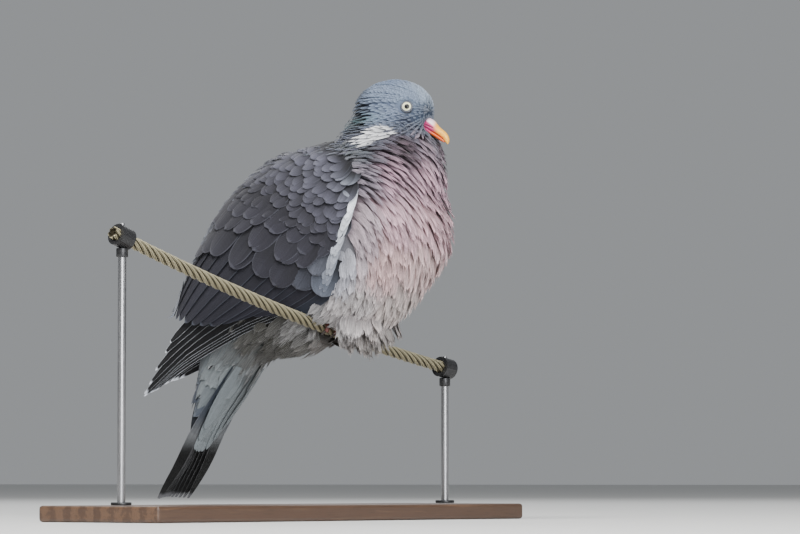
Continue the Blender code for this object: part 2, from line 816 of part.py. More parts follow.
def cut_bill(head):
    """Both halves of the bill and their seat in the face."""
    bill_half("bill_upper", True)
    bill_half("bill_lower", False)
    slope = math.tan(math.radians(BILL_PITCH_DEG))
    ends = [
        (BILL_BASE[0] + ahead, 0, BILL_BASE[1] + max(0.0, ahead) * slope) for ahead in (-1, BILL_SEAT_DEPTH)
    ]
    seat = tube("bill_seat", ends, [BILL_SEAT_RADIUS] * 2, "bill", 12)
    combine(head, helper(seat), "DIFFERENCE")


def cut_feet(trunk):
    """The feet, and the space for them and for the rope in the belly's feathers."""
    for side in FOOT_PLACES:
        foot(side)
        combine(trunk, helper(foot(side, FOOT_ROOM)), "DIFFERENCE")
        for toe in TOES:
            claw(side, toe)
            combine(trunk, helper(claw(side, toe, GAP)), "DIFFERENCE")
    place = rope_point(FOOT_PLACES["right"])
    notch = [place + Vector((1, -out, -7)) for out in (-9, 45)]
    combine(trunk, helper(tube("toe_notch", notch, [9.5, 12.5], "foot", 14)), "DIFFERENCE")
    combine(trunk, helper(rope_room()), "DIFFERENCE")


def bird():
    """The whole bird: flesh in three pieces, then everything set into it."""
    body = whole_body()
    head = copy_of(body, "head", "grey_plumage")
    neck = copy_of(body, "neck", "grey_plumage")
    trunk = copy_of(body, "trunk", "breast_plumage")
    drop(body)
    combine(head, plane_block("above_head_plane", HEAD_PLANE, True), "INTERSECT")
    combine(neck, plane_block("below_head_plane", HEAD_PLANE, False), "INTERSECT")
    combine(neck, plane_block("above_neck_plane", NECK_PLANE, True), "INTERSECT")
    combine(trunk, plane_block("below_neck_plane", NECK_PLANE, False), "INTERSECT")
    cut_wings(trunk, neck)
    cut_eyes(head)
    tail_feathers()
    undertail_coverts()
    combine(trunk, helper(tail_room()), "DIFFERENCE")
    combine(trunk, helper(tail_slot()), "DIFFERENCE")
    cut_bill(head)
    cut_feet(trunk)
    for flesh in (trunk, neck, head):
        keep_largest(flesh)


def cylinder(name, low, high, radius, finish, sides):
    """A plain round bar between two points."""
    return tube(name, [low, high], [radius, radius], finish, sides)


def display_base():
    """The flat base, lying along the rope."""
    points = []
    for level in (-GRIP_HEIGHT, BASE_THICKNESS - GRIP_HEIGHT):
        for a, b in ((-1, -1), (1, -1), (1, 1), (-1, 1)):
            corner = ALONG * (a * BASE_LENGTH / 2) - ACROSS * (b * BASE_WIDTH / 2)
            points.append(BASE_MIDDLE + corner + Vector((0, 0, level)))
    faces = [(3, 2, 1, 0), (4, 5, 6, 7)] + [(k, (k + 1) % 4, (k + 1) % 4 + 4, k + 4) for k in range(4)]
    base = node("stand_base", points, faces, "base_wood", smooth=False)
    rounding = base.modifiers.new("edge", "BEVEL")
    rounding.width, rounding.segments = BASE_EDGE * MM, 3


def support(name, s):
    """A collar round the rope and the rod that carries it."""
    middle = rope_point(s)
    half = rope_frame(s)[0] * (CLAMP_LENGTH / 2)
    clamp = cylinder(f"stand_clamp_{name}", middle - half, middle + half, CLAMP_RADIUS, "stand_metal", 20)
    bore_radius = ROPE_DIAMETER / 2 + GAP + SLACK
    bore = cylinder(f"bore_{name}", middle - half * 2, middle + half * 2, bore_radius, "stand_metal", 20)
    combine(clamp, helper(bore), "DIFFERENCE")
    foot_end = Vector((middle.x, middle.y, BASE_THICKNESS - GRIP_HEIGHT + GAP))
    head_end = Vector((middle.x, middle.y, middle.z - CLAMP_RADIUS - ROD_HEADROOM))
    cylinder(f"stand_rod_{name}", foot_end, head_end, ROD_RADIUS, "stand_metal", 16)


def stand():
    """The rope and the display stand that holds it at both ends."""
    wire_rope()
    display_base()
    support("near", ROD_NEAR)
    support("far", ROD_FAR)


def main():
    """Build the whole model."""
    clear_scene()
    bird()
    stand()


main()
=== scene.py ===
"""Dresses the perched wood pigeon: skin, plumage, eyes, bill, feet, wire perch and stand.

Sizes are in millimetres from the gripping point unless a name says metres; +X is the way the bird
faces, +Y its left and +Z up. Finished meshes are in metres in the frame of the solids.
"""

import logging
import math
from contextlib import contextmanager
from dataclasses import dataclass, fields
from enum import Enum
from typing import ClassVar, Iterable, Iterator

import bmesh
import bpy
import numpy as np
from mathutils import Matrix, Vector
from mathutils.bvhtree import BVHTree


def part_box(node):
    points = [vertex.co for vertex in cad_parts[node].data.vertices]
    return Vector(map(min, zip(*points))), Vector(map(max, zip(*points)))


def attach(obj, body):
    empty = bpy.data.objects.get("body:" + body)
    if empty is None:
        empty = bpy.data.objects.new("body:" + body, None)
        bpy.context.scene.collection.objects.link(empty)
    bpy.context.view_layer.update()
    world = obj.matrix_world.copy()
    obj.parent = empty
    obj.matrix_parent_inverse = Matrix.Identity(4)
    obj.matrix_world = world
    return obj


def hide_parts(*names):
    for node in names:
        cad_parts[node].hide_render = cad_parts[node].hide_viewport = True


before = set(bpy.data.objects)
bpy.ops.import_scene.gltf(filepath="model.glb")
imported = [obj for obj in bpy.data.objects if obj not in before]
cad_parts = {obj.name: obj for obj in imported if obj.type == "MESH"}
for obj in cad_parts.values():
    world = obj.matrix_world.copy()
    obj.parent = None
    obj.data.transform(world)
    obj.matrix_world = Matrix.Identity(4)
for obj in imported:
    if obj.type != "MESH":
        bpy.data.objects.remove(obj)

LOG = logging.getLogger("pigeon")
MM = 0.001
Array = np.ndarray
Triple = tuple[float, float, float]
Thing = bpy.types.Object
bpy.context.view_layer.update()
EYE: Triple = (68.2, 15.4, 175.3)
SKULL: Triple = (51.0, 0.0, 175.0)


# ---- numbers


def smooth(low: float, high: float, value: Array) -> Array:
    """0 below low, 1 above high and eased between, or a fall when high is below low."""
    t = np.clip((np.asarray(value, float) - low) / (high - low), 0.0, 1.0)
    return t * t * (3 - 2 * t)


def unit(vectors: Array) -> Array:
    """The vectors at length one."""
    return vectors / np.maximum(np.linalg.norm(vectors, axis=-1, keepdims=True), 1e-9)


def dot(a: Array, b: Array) -> Array:
    """Row by row dot product, kept as a column."""
    return np.sum(a * b, axis=-1, keepdims=True)


class Table:
    """Rows of sizes joined by one smooth curve."""

    def __init__(self, rows: dict[float, tuple[float, ...]]) -> None:
        """Keep the rows in order.

        Args:
            rows: the sizes at each place.
        """
        self.keys = np.array(sorted(rows), float)
        self.rows = np.array([rows[k] for k in sorted(rows)], float)
        step = np.diff(self.keys)[:, None]
        ends = np.diff(self.rows, axis=0) / step
        middle = (self.rows[2:] - self.rows[:-2]) / (step[1:] + step[:-1])
        self.slopes = np.concatenate([ends[:1], middle, ends[-1:]])

    def at(self, place: Array) -> Array:
        """The sizes at these places.

        Args:
            place: places along the table, of any shape.

        Returns:
            One row of sizes for each place, along a last axis.
        """
        place = np.clip(np.asarray(place, float), self.keys[0], self.keys[-1])
        i = np.clip(np.searchsorted(self.keys, place) - 1, 0, len(self.keys) - 2)
        span = self.keys[i + 1] - self.keys[i]
        f = ((place - self.keys[i]) / span)[..., None]
        span = span[..., None]
        return (
            (2 * f**3 - 3 * f**2 + 1) * self.rows[i]
            + (f**3 - 2 * f**2 + f) * self.slopes[i] * span
            + (3 * f**2 - 2 * f**3) * self.rows[i + 1]
            + (f**3 - f**2) * self.slopes[i + 1] * span
        )


def mirrored(points: Array, side: float) -> Array:
    """The points on the bird's left (1) or right (-1)."""
    return np.asarray(points) * np.array([1.0, side, 1.0])


def folded(points: Array) -> Array:
    """The points brought to the bird's left side."""
    return points * [1, 0, 1] + np.abs(points) * [0, 1, 0]


def off_skull(points: Array) -> Array:
    """How far each point is from the middle of the head."""
    return np.linalg.norm(points - np.array(SKULL), axis=1)


def blend(first: Array, second: Array, share: Array) -> Array:
    """One set of rows mixed with another, by a share of the second for each row."""
    share = np.asarray(share, float)[:, None]
    return np.asarray(first, float) * (1 - share) + np.asarray(second, float) * share


def run_along(path: Array) -> Array:
    """How far along a path each of its points lies."""
    return np.concatenate([[0], np.cumsum(np.linalg.norm(np.diff(path, axis=0), axis=1))])


def read_along(where: Array, run: Array, rows: Array) -> Array:
    """Rows of a path read at other distances along it."""
    return np.stack([np.interp(where, run, rows[:, a]) for a in range(3)], axis=-1)


def measuring_point() -> Array:
    """The gripping point in metres, read from the eyes' boxes."""
    corners = [np.array(c) for name in ("eye_left", "eye_right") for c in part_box(name)]
    middle = (np.min(corners, axis=0) + np.max(corners, axis=0)) / 2
    return middle - np.array([EYE[0], 0.0, EYE[2]]) * MM


ORIGIN = measuring_point()


class Side(Enum):
    """One side of the bird, by the sign of Y."""

    LEFT = 1.0
    RIGHT = -1.0

    @property
    def label(self) -> str:
        """Its name in the names of pieces."""
        return self.name.lower()


class Sheet(Enum):
    """The sheets of feathers that a folded wing is laid up from."""

    COVERT = "covert"
    SECOND = "second"
    FIRST = "first"


# ---- materials


class Expr:
    """A number, vector or colour in a material, with arithmetic that adds the nodes."""

    def __init__(self, shade: "Shade", socket: bpy.types.NodeSocket) -> None:
        """Wrap an output socket of a material."""
        self.shade, self.socket = shade, socket

    @property
    def wide(self) -> bool:
        """Whether it carries three numbers."""
        return self.socket.type in ("RGBA", "VECTOR")

    def _do(self, kind: str, first: object, second: object) -> "Expr":
        """One step of arithmetic, for vectors when either value is one."""
        wide = any(isinstance(v, Expr) and v.wide or isinstance(v, tuple) for v in (first, second))
        node = "ShaderNodeVectorMath" if wide else "ShaderNodeMath"
        return self.shade.node(node, {"operation": kind}, {0: first, 1: second})

    def __add__(self, other: object) -> "Expr":
        """Sum."""
        return self._do("ADD", self, other)

    __radd__ = __add__

    def __sub__(self, other: object) -> "Expr":
        """Difference."""
        return self._do("SUBTRACT", self, other)

    def __rsub__(self, other: object) -> "Expr":
        """Difference from a plain value."""
        return self._do("SUBTRACT", other, self)

    def __mul__(self, other: object) -> "Expr":
        """Product."""
        return self._do("MULTIPLY", self, other)

    __rmul__ = __mul__

    def __abs__(self) -> "Expr":
        """Size without sign."""
        return self.shade.node("ShaderNodeMath", {"operation": "ABSOLUTE"}, {0: self})

    def sine(self) -> "Expr":
        """Its sine."""
        return self.shade.node("ShaderNodeMath", {"operation": "SINE"}, {0: self})

    def part(self, axis: str) -> "Expr":
        """One of its three numbers, X, Y or Z."""
        return self.shade.node("ShaderNodeSeparateXYZ", {}, {0: self}, axis)

    def ease(self, low: float, high: float, start: float = 0.0, end: float = 1.0) -> "Expr":
        """A smooth step from start, at low, to end, at high."""
        settings = {"interpolation_type": "SMOOTHSTEP"}
        values = {"Value": self, "From Min": low, "From Max": high, "To Min": start, "To Max": end}
        return self.shade.node("ShaderNodeMapRange", settings, values)

    def mix(self, other: object, share: object) -> "Expr":
        """This colour mixed with a share of another."""
        return self.shade.mix(share, self, other)

    def between(self, first: Triple, second: Triple) -> "Expr":
        """The colour that this share gives between two plain ones."""
        return self.shade.mix(self, first, second)


class Shade:
    """One material while it is being made."""

    def __init__(self, name: str, **values: object) -> None:
        """Start a principled material.

        Args:
            name: the material's name.
            values: what its shader's sockets hold, with _ for a space.
        """
        self.material = bpy.data.materials.new(name)
        self.material.use_nodes = True
        self.tree = self.material.node_tree
        self.shader = self.tree.nodes["Principled BSDF"]
        for key, value in values.items():
            self.shader.inputs[key.replace("_", " ")].default_value = value

    def node(self, kind: str, settings: dict, values: dict, out: int | str = 0) -> Expr:
        """Add a node.

        Args:
            kind: the node's type.
            settings: its own properties.
            values: what goes into its inputs, by name or number.
            out: the output wanted.

        Returns:
            That output.
        """
        made = self.tree.nodes.new(kind)
        for key, value in settings.items():
            setattr(made, key, value)
        for key, value in values.items():
            target = made.inputs[key]
            if isinstance(value, Expr):
                self.tree.links.new(value.socket, target)
            elif target.type == "RGBA":
                target.default_value = (*(value if isinstance(value, tuple) else (value,) * 3), 1.0)
            elif target.type == "VECTOR" and not isinstance(value, tuple):
                target.default_value = (value,) * 3
            else:
                target.default_value = value
        return Expr(self, made.outputs[out])

    def mix(self, share: object, first: object, second: object) -> Expr:
        """Two colours mixed by a share of the second."""
        return self.node("ShaderNodeMix", {"data_type": "RGBA"}, {0: share, 6: first, 7: second}, 2)

    def attribute(self, name: str) -> Expr:
        """A named colour attribute of the mesh."""
        return self.node("ShaderNodeAttribute", {"attribute_name": name}, {}, "Color")

    def uv(self, name: str) -> Expr:
        """A named UV map."""
        return self.node("ShaderNodeUVMap", {"uv_map": name}, {})

    def place(self, stretch: Triple = (1.0, 1.0, 1.0)) -> Expr:
        """The place on the object, in metres, stretched along each axis."""
        where = self.node("ShaderNodeTexCoord", {}, {}, "Object")
        return where if stretch == (1.0, 1.0, 1.0) else where * stretch

    def noise(self, where: Expr, scale: float, detail: float = 3.0, rough: float = 0.55) -> Expr:
        """Cloudy noise from 0 to 1, by its fineness, its finer layers and their strength."""
        values = {"Vector": where, "Scale": scale, "Detail": detail, "Roughness": rough}
        return self.node("ShaderNodeTexNoise", {}, values)

    def drive(self, name: str, value: Expr) -> None:
        """Feed one of the shader's sockets."""
        self.tree.links.new(value.socket, self.shader.inputs[name])

    def bump(self, height: Expr, depth_mm: float, strength: float = 1.0) -> None:
        """Feed the shader's normal from a height; one unit of it is this many millimetres."""
        values = {"Strength": strength, "Distance": depth_mm * MM, "Height": height}
        self.drive("Normal", self.node("ShaderNodeBump", {}, values))


@dataclass(frozen=True)
class Finish:
    """A material of one colour with a cloudy variation and a fine bump."""

    name: str
    colour: Triple
    second: Triple
    roughness: float = 0.6
    metallic: float = 0.0
    coat: float = 0.0
    scale: float = 400.0
    bump_mm: float = 0.05
    stretch: Triple = (1.0, 1.0, 1.0)

    def make(self) -> bpy.types.Material:
        """Build the material."""
        shade = Shade(self.name, Metallic=self.metallic, Coat_Weight=self.coat)
        cloud = shade.noise(shade.place(self.stretch), self.scale, 5.0)
        fine = shade.noise(shade.place(self.stretch), self.scale * 4.3, 3.0)
        shade.drive("Base Color", cloud.ease(0.35, 0.65).between(self.colour, self.second))
        shade.drive("Roughness", fine.ease(0.2, 0.8, self.roughness - 0.1, self.roughness + 0.1))
        shade.bump(cloud * 0.6 + fine * 0.4, self.bump_mm)
        return shade.material


@dataclass(frozen=True)
class PlumageFinish:
    """A feather's vane: its tint with a shaft, barbs and a fringe, from its own map."""

    name: str
    fringe: Triple = (0.5, 0.5, 0.55)
    fringe_share: float = 0.0
    fringe_width: float = 0.12
    shaft: float = 0.25
    barbs: float = 60.0
    barb_mm: float = 0.12
    roughness: float = 0.75
    sheen: float = 0.25
    streak: float = 0.12

    def make(self) -> bpy.types.Material:
        """Build the material."""
        shade = Shade(self.name, Sheen_Weight=self.sheen, Sheen_Roughness=0.5, Specular_IOR_Level=0.2)
        tint = shade.attribute("Tint")
        vane = shade.uv("Vane")
        along, across = vane.part("Y"), abs(vane.part("X") * 2.0 - 1.0)
        barb = ((along - across * 0.3) * self.barbs * 2 * math.pi).sine() * 0.5 + 0.5
        cloud = shade.noise(shade.place(), 900.0, 4.0)
        streak = shade.noise(vane * (15.0, 1.5, 1.0) + shade.place() * 40.0, 1.0, 3.0)
        edge = across.ease(1 - self.fringe_width, 1 - self.fringe_width * 0.3) * self.fringe_share
        tip = along.ease(1 - self.fringe_width * 0.55, 1 - self.fringe_width * 0.2) * self.fringe_share
        rim = shade.node("ShaderNodeMath", {"operation": "MAXIMUM"}, {0: edge, 1: tip})
        quill = across.ease(0.10, 0.02) * self.shaft
        level = cloud.ease(0.25, 0.75, 0.86, 1.12) * barb.ease(0.0, 1.0, 0.94, 1.04)
        level = level * streak.ease(0.32, 0.68, 1 - self.streak, 1 + 0.7 * self.streak)
        base = tint.mix(self.fringe, rim).mix((0.02, 0.02, 0.025), quill) * level
        shade.drive("Base Color", base)
        shade.drive("Roughness", cloud.ease(0.2, 0.8, self.roughness - 0.08, self.roughness + 0.08))
        shade.bump(barb * 0.7 + across.ease(0.09, 0.0) * 0.8 + cloud * 0.3 + streak * 1.2, self.barb_mm)
        return shade.material


# ---- meshes


def in_frame(points: Array) -> Array:
    """Points of the bird, in metres in the frame of the solids."""
    return np.asarray(points, float) * MM + ORIGIN


def from_frame(points: Array) -> Array:
    """Points of the frame as the bird's own millimetres."""
    return (np.asarray(points, float) - ORIGIN) / MM


def points_of(mesh: bpy.types.Mesh) -> Array:
    """The mesh's points, in metres."""
    flat = np.empty(len(mesh.vertices) * 3, np.float32)
    mesh.vertices.foreach_get("co", flat)
    return flat.reshape(-1, 3).astype(float)


def bird_points(thing: Thing) -> Array:
    """The object's points as the bird's own millimetres."""
    return from_frame(points_of(thing.data))


def mesh_object(name: str, points: Array, sizes: Array, corners: Array) -> Thing:
    """A mesh object from arrays.

    Args:
        name: its name.
        points: its points, in metres.
        sizes: how many corners each face has.
        corners: the faces' corners one after another.

    Returns:
        The object, with smooth faces.
    """
    mesh = bpy.data.meshes.new(name)
    mesh.vertices.add(len(points))
    mesh.vertices.foreach_set("co", np.ascontiguousarray(points, np.float32).ravel())
    mesh.loops.add(len(corners))
    mesh.loops.foreach_set("vertex_index", corners.astype(np.int32))
    mesh.polygons.add(len(sizes))
    starts = np.concatenate([[0], np.cumsum(sizes)[:-1]])
    mesh.polygons.foreach_set("loop_start", starts.astype(np.int32))
    mesh.update(calc_edges=True)
    mesh.validate()
    mesh.polygons.foreach_set("use_smooth", np.ones(len(mesh.polygons), bool))
    return Bench.add(name, mesh)


def place_points(mesh: bpy.types.Mesh, points: Array) -> None:
    """Move the mesh's points to these, in metres."""
    mesh.vertices.foreach_set("co", np.ascontiguousarray(points, np.float32).ravel())
    mesh.update()


def triangles(thing: Thing) -> int:
    """How many triangles a mesh has."""
    return len(thing.data.loops) - 2 * len(thing.data.polygons)


def add_uv(mesh: bpy.types.Mesh, name: str, per_point: Array) -> None:
    """A UV map from one place for each point."""
    layer = mesh.uv_layers.new(name=name)
    index = np.empty(len(mesh.loops), np.int32)
    mesh.loops.foreach_get("vertex_index", index)
    layer.data.foreach_set("uv", per_point[index].astype(np.float32).ravel())


def add_tint(mesh: bpy.types.Mesh, per_point: Array) -> None:
    """A colour for each point, over any that it has."""
    layers = mesh.color_attributes
    layer = layers.get("Tint") or layers.new(name="Tint", type="FLOAT_COLOR", domain="POINT")
    full = np.concatenate([np.clip(per_point, 0, 1), np.ones((len(per_point), 1))], axis=1)
    layer.data.foreach_set("color", full.astype(np.float32).ravel())


class Bench:
    """The modelling operators, as they are used by hand."""

    @staticmethod
    def add(name: str, data: bpy.types.ID) -> Thing:
        """A new object in the scene."""
        made = bpy.data.objects.new(name, data)
        bpy.context.scene.collection.objects.link(made)
        return made

    @staticmethod
    def drop(thing: Thing) -> None:
        """Take an object out of the scene for good."""
        bpy.data.objects.remove(thing, do_unlink=True)

    @staticmethod
    @contextmanager
    def editing(select: str | None = "SELECT") -> Iterator[None]:
        """Edit mode, with everything selected, nothing for DESELECT, or what was for None."""
        bpy.ops.object.mode_set(mode="EDIT")
        if select:
            bpy.ops.mesh.select_all(action=select)
        yield
        bpy.ops.object.mode_set(mode="OBJECT")

    @staticmethod
    def aim(thing: Thing, way: Array, at: Array, nose: str = "Z") -> None:
        """Put an object in place, in metres, with its nose axis along a direction."""
        thing.rotation_mode = "QUATERNION"
        thing.rotation_quaternion = Vector(way).to_track_quat(nose, "Y")
        thing.location = at

    @staticmethod
    def clear() -> None:
        """Deselect everything."""
        if bpy.context.mode != "OBJECT":
            bpy.ops.object.mode_set(mode="OBJECT")
        bpy.ops.object.select_all(action="DESELECT")

    @classmethod
    def take(cls, thing: Thing) -> Thing:
        """Select one object alone."""
        cls.clear()
        thing.select_set(True)
        bpy.context.view_layer.objects.active = thing
        return thing

    @classmethod
    def copy(cls, nodes: Iterable[str], name: str) -> Thing:
        """One object of the solids' own meshes, their doubles merged.

        Args:
            nodes: the solids' names.
            name: the new object's name.

        Returns:
            The joined copy.
        """
        made = []
        for node in nodes:
            twin = cls.add(f"{name}_{node}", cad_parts[node].data.copy())
            twin.data.materials.clear()
            made.append(twin)
        joined = cls.join(made, name)
        with cls.editing():
            bpy.ops.mesh.remove_doubles(threshold=1e-6)
        return joined

    @classmethod
    def modify(cls, thing: Thing, kind: str, **settings: object) -> None:
        """Add a modifier of a type with these properties and apply it."""
        cls.take(thing)
        step = thing.modifiers.new(kind.lower(), kind)
        for key, value in settings.items():
            setattr(step, key, value)
        bpy.ops.object.modifier_apply(modifier=step.name)

    @classmethod
    def join(cls, things: list[Thing], name: str) -> Thing:
        """Several objects as one."""
        cls.take(things[0])
        for thing in things:
            thing.select_set(True)
        if len(things) > 1:
            bpy.ops.object.join()
        things[0].name = things[0].data.name = name
        return things[0]

    @classmethod
    def settle(cls, thing: Thing) -> Thing:
        """Put the object's place into its mesh."""
        cls.take(thing)
        bpy.ops.object.transform_apply(location=True, rotation=True, scale=True)
        return thing


def finish_piece(thing: Thing, finish: str, replaces: Iterable[str] = ()) -> Thing:
    """Give a piece its material and body, and hide the solids that it stands for.

    Args:
        thing: the piece.
        finish: the name of its material.
        replaces: the solids that it stands for.

    Returns:
        The piece.
    """
    if not thing.data.materials:
        thing.data.materials.append(FINISHES[finish])
    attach(thing, "root")
    if replaces:
        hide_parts(*replaces)
    return thing


# ---- the body's form


@dataclass
class Form:
    """The trunk's long axis and the outer faces that the wing feathers lie on."""

    axis: tuple[float, float] = (-5.0, 70.0)
    pitch: float = math.radians(47.0)
    upper_pinch: float = -0.06
    front: ClassVar[dict] = {
        83: (50, 0, 44, -53, -0.08),
        70: (57.5, -3, 53, -66, -0.08),
        57: (62, -6, 60, -74, -0.08),
        34: (66, -8, 73, -77, -0.05),
        10: (67.5, -6, 82.5, -79, 0.06),
        -15: (66.5, -2, 87, -75, 0.25),
        -40: (63, 4, 86, -64, 0.45),
    }
    wing: ClassVar[dict] = {
        -60: (57.5, 10, 83, -52, 0.48),
        -80: (51, 17, 79, -45, 0.45),
        -100: (44.5, 22, 73, -35, 0.4),
        -120: (38, 26, 64, -25, 0.3),
        -139: (32, 30, 53, -10, 0.3),
    }
    primary: ClassVar[dict] = {
        -60: (56, 10, 83, -52, 0.48),
        -80: (49, 17, 79, -45, 0.45),
        -100: (41, 22, 74, -38, 0.3),
        -120: (33.5, 26, 72, -32, 0.1),
        -139: (27, 29, 70, -28, 0.0),
        -160: (20, 31, 68, -25, 0.0),
        -190: (11, 33, 66, -20, 0.0),
        -205: (8, 35, 66, -18, 0.0),
    }

    def __post_init__(self) -> None:
        """Join the rows into smooth tables."""
        self.wing_face = Table(self.front | self.wing)
        self.primary_face = Table(self.front | self.primary)

    def point(self, station: Array, height: Array, sideways: Array) -> Array:
        """Points given along the trunk's axis, square above it and to the left."""
        c, s = math.cos(self.pitch), math.sin(self.pitch)
        x = self.axis[0] + station * c - height * s
        return np.stack([x, sideways, self.axis[1] + station * s + height * c], axis=-1)

    def station(self, points: Array) -> tuple[Array, Array]:
        """How far along the axis and above it the points lie."""
        x, z = points[..., 0] - self.axis[0], points[..., 2] - self.axis[1]
        c, s = math.cos(self.pitch), math.sin(self.pitch)
        return x * c + z * s, z * c - x * s

    def face(self, table: Table, station: Array, degrees: Array, inward: Array, side: float) -> Array:
        """Points on or under a wing's outer face.

        Args:
            table: the face's rows.
            station: places along the trunk's axis.
            degrees: angles above the widest line.
            inward: depth under the face.
            side: -1 for the right wing, 1 for the left.

        Returns:
            The points, one for each place.
        """
        half, middle, top, bottom, low_pinch = np.moveaxis(table.at(station), -1, 0)
        c, s = np.cos(np.radians(degrees)), np.sin(np.radians(degrees))
        reach = np.where(s >= 0, top - middle, middle - bottom)
        pinch = np.where(s >= 0, self.upper_pinch, low_pinch)
        wide = half * c * (1 - pinch * s * s)
        turn = half * s * (1 - pinch * s * s + 2 * pinch * c * c)
        long = np.maximum(np.hypot(reach * c, turn), 1e-9)
        height = middle + reach * s - inward * turn / long
        return self.point(station, height, side * (wide - inward * reach * c / long))


FORM = Form()


class Surface:
    """The bird's outer surface, as even triangles with smooth directions."""

    def __init__(self, thing: Thing) -> None:
        """Read a mesh.

        Args:
            thing: the object that holds the surface.
        """
        mesh = thing.data
        mesh.calc_loop_triangles()
        self.points = bird_points(thing)
        faces = np.empty(len(mesh.loop_triangles) * 3, np.int32)
        mesh.loop_triangles.foreach_get("vertices", faces)
        self.faces = faces.reshape(-1, 3)
        a, b, c = (self.points[self.faces[:, k]] for k in range(3))
        flat = np.cross(b - a, c - a)
        normals = np.zeros_like(self.points)
        for k in range(3):
            np.add.at(normals, self.faces[:, k], flat)
        self.normals = unit(normals)
        self.middles = (a + b + c) / 3
        self.outward = unit(self.normals[self.faces].sum(axis=1))
        self.tree = BVHTree.FromPolygons(self.points.tolist(), self.faces.tolist())


@dataclass(frozen=True)
class Spot:
    """A named place of the body.

    size holds its feathers' length, width, distance apart, depth and lift. In hundredths, root and tip
    are their colours, the root's darker part partly the feather's own dark base and partly painted shade
    under the overlapping feathers, and form is how pointed they are, the share of each that shows and
    how much painted shade darkens its edges.
    """

    at: Triple
    size: tuple[float, float, float, float, float]
    root: Triple
    tip: Triple
    form: Triple = (50, 30, 15)


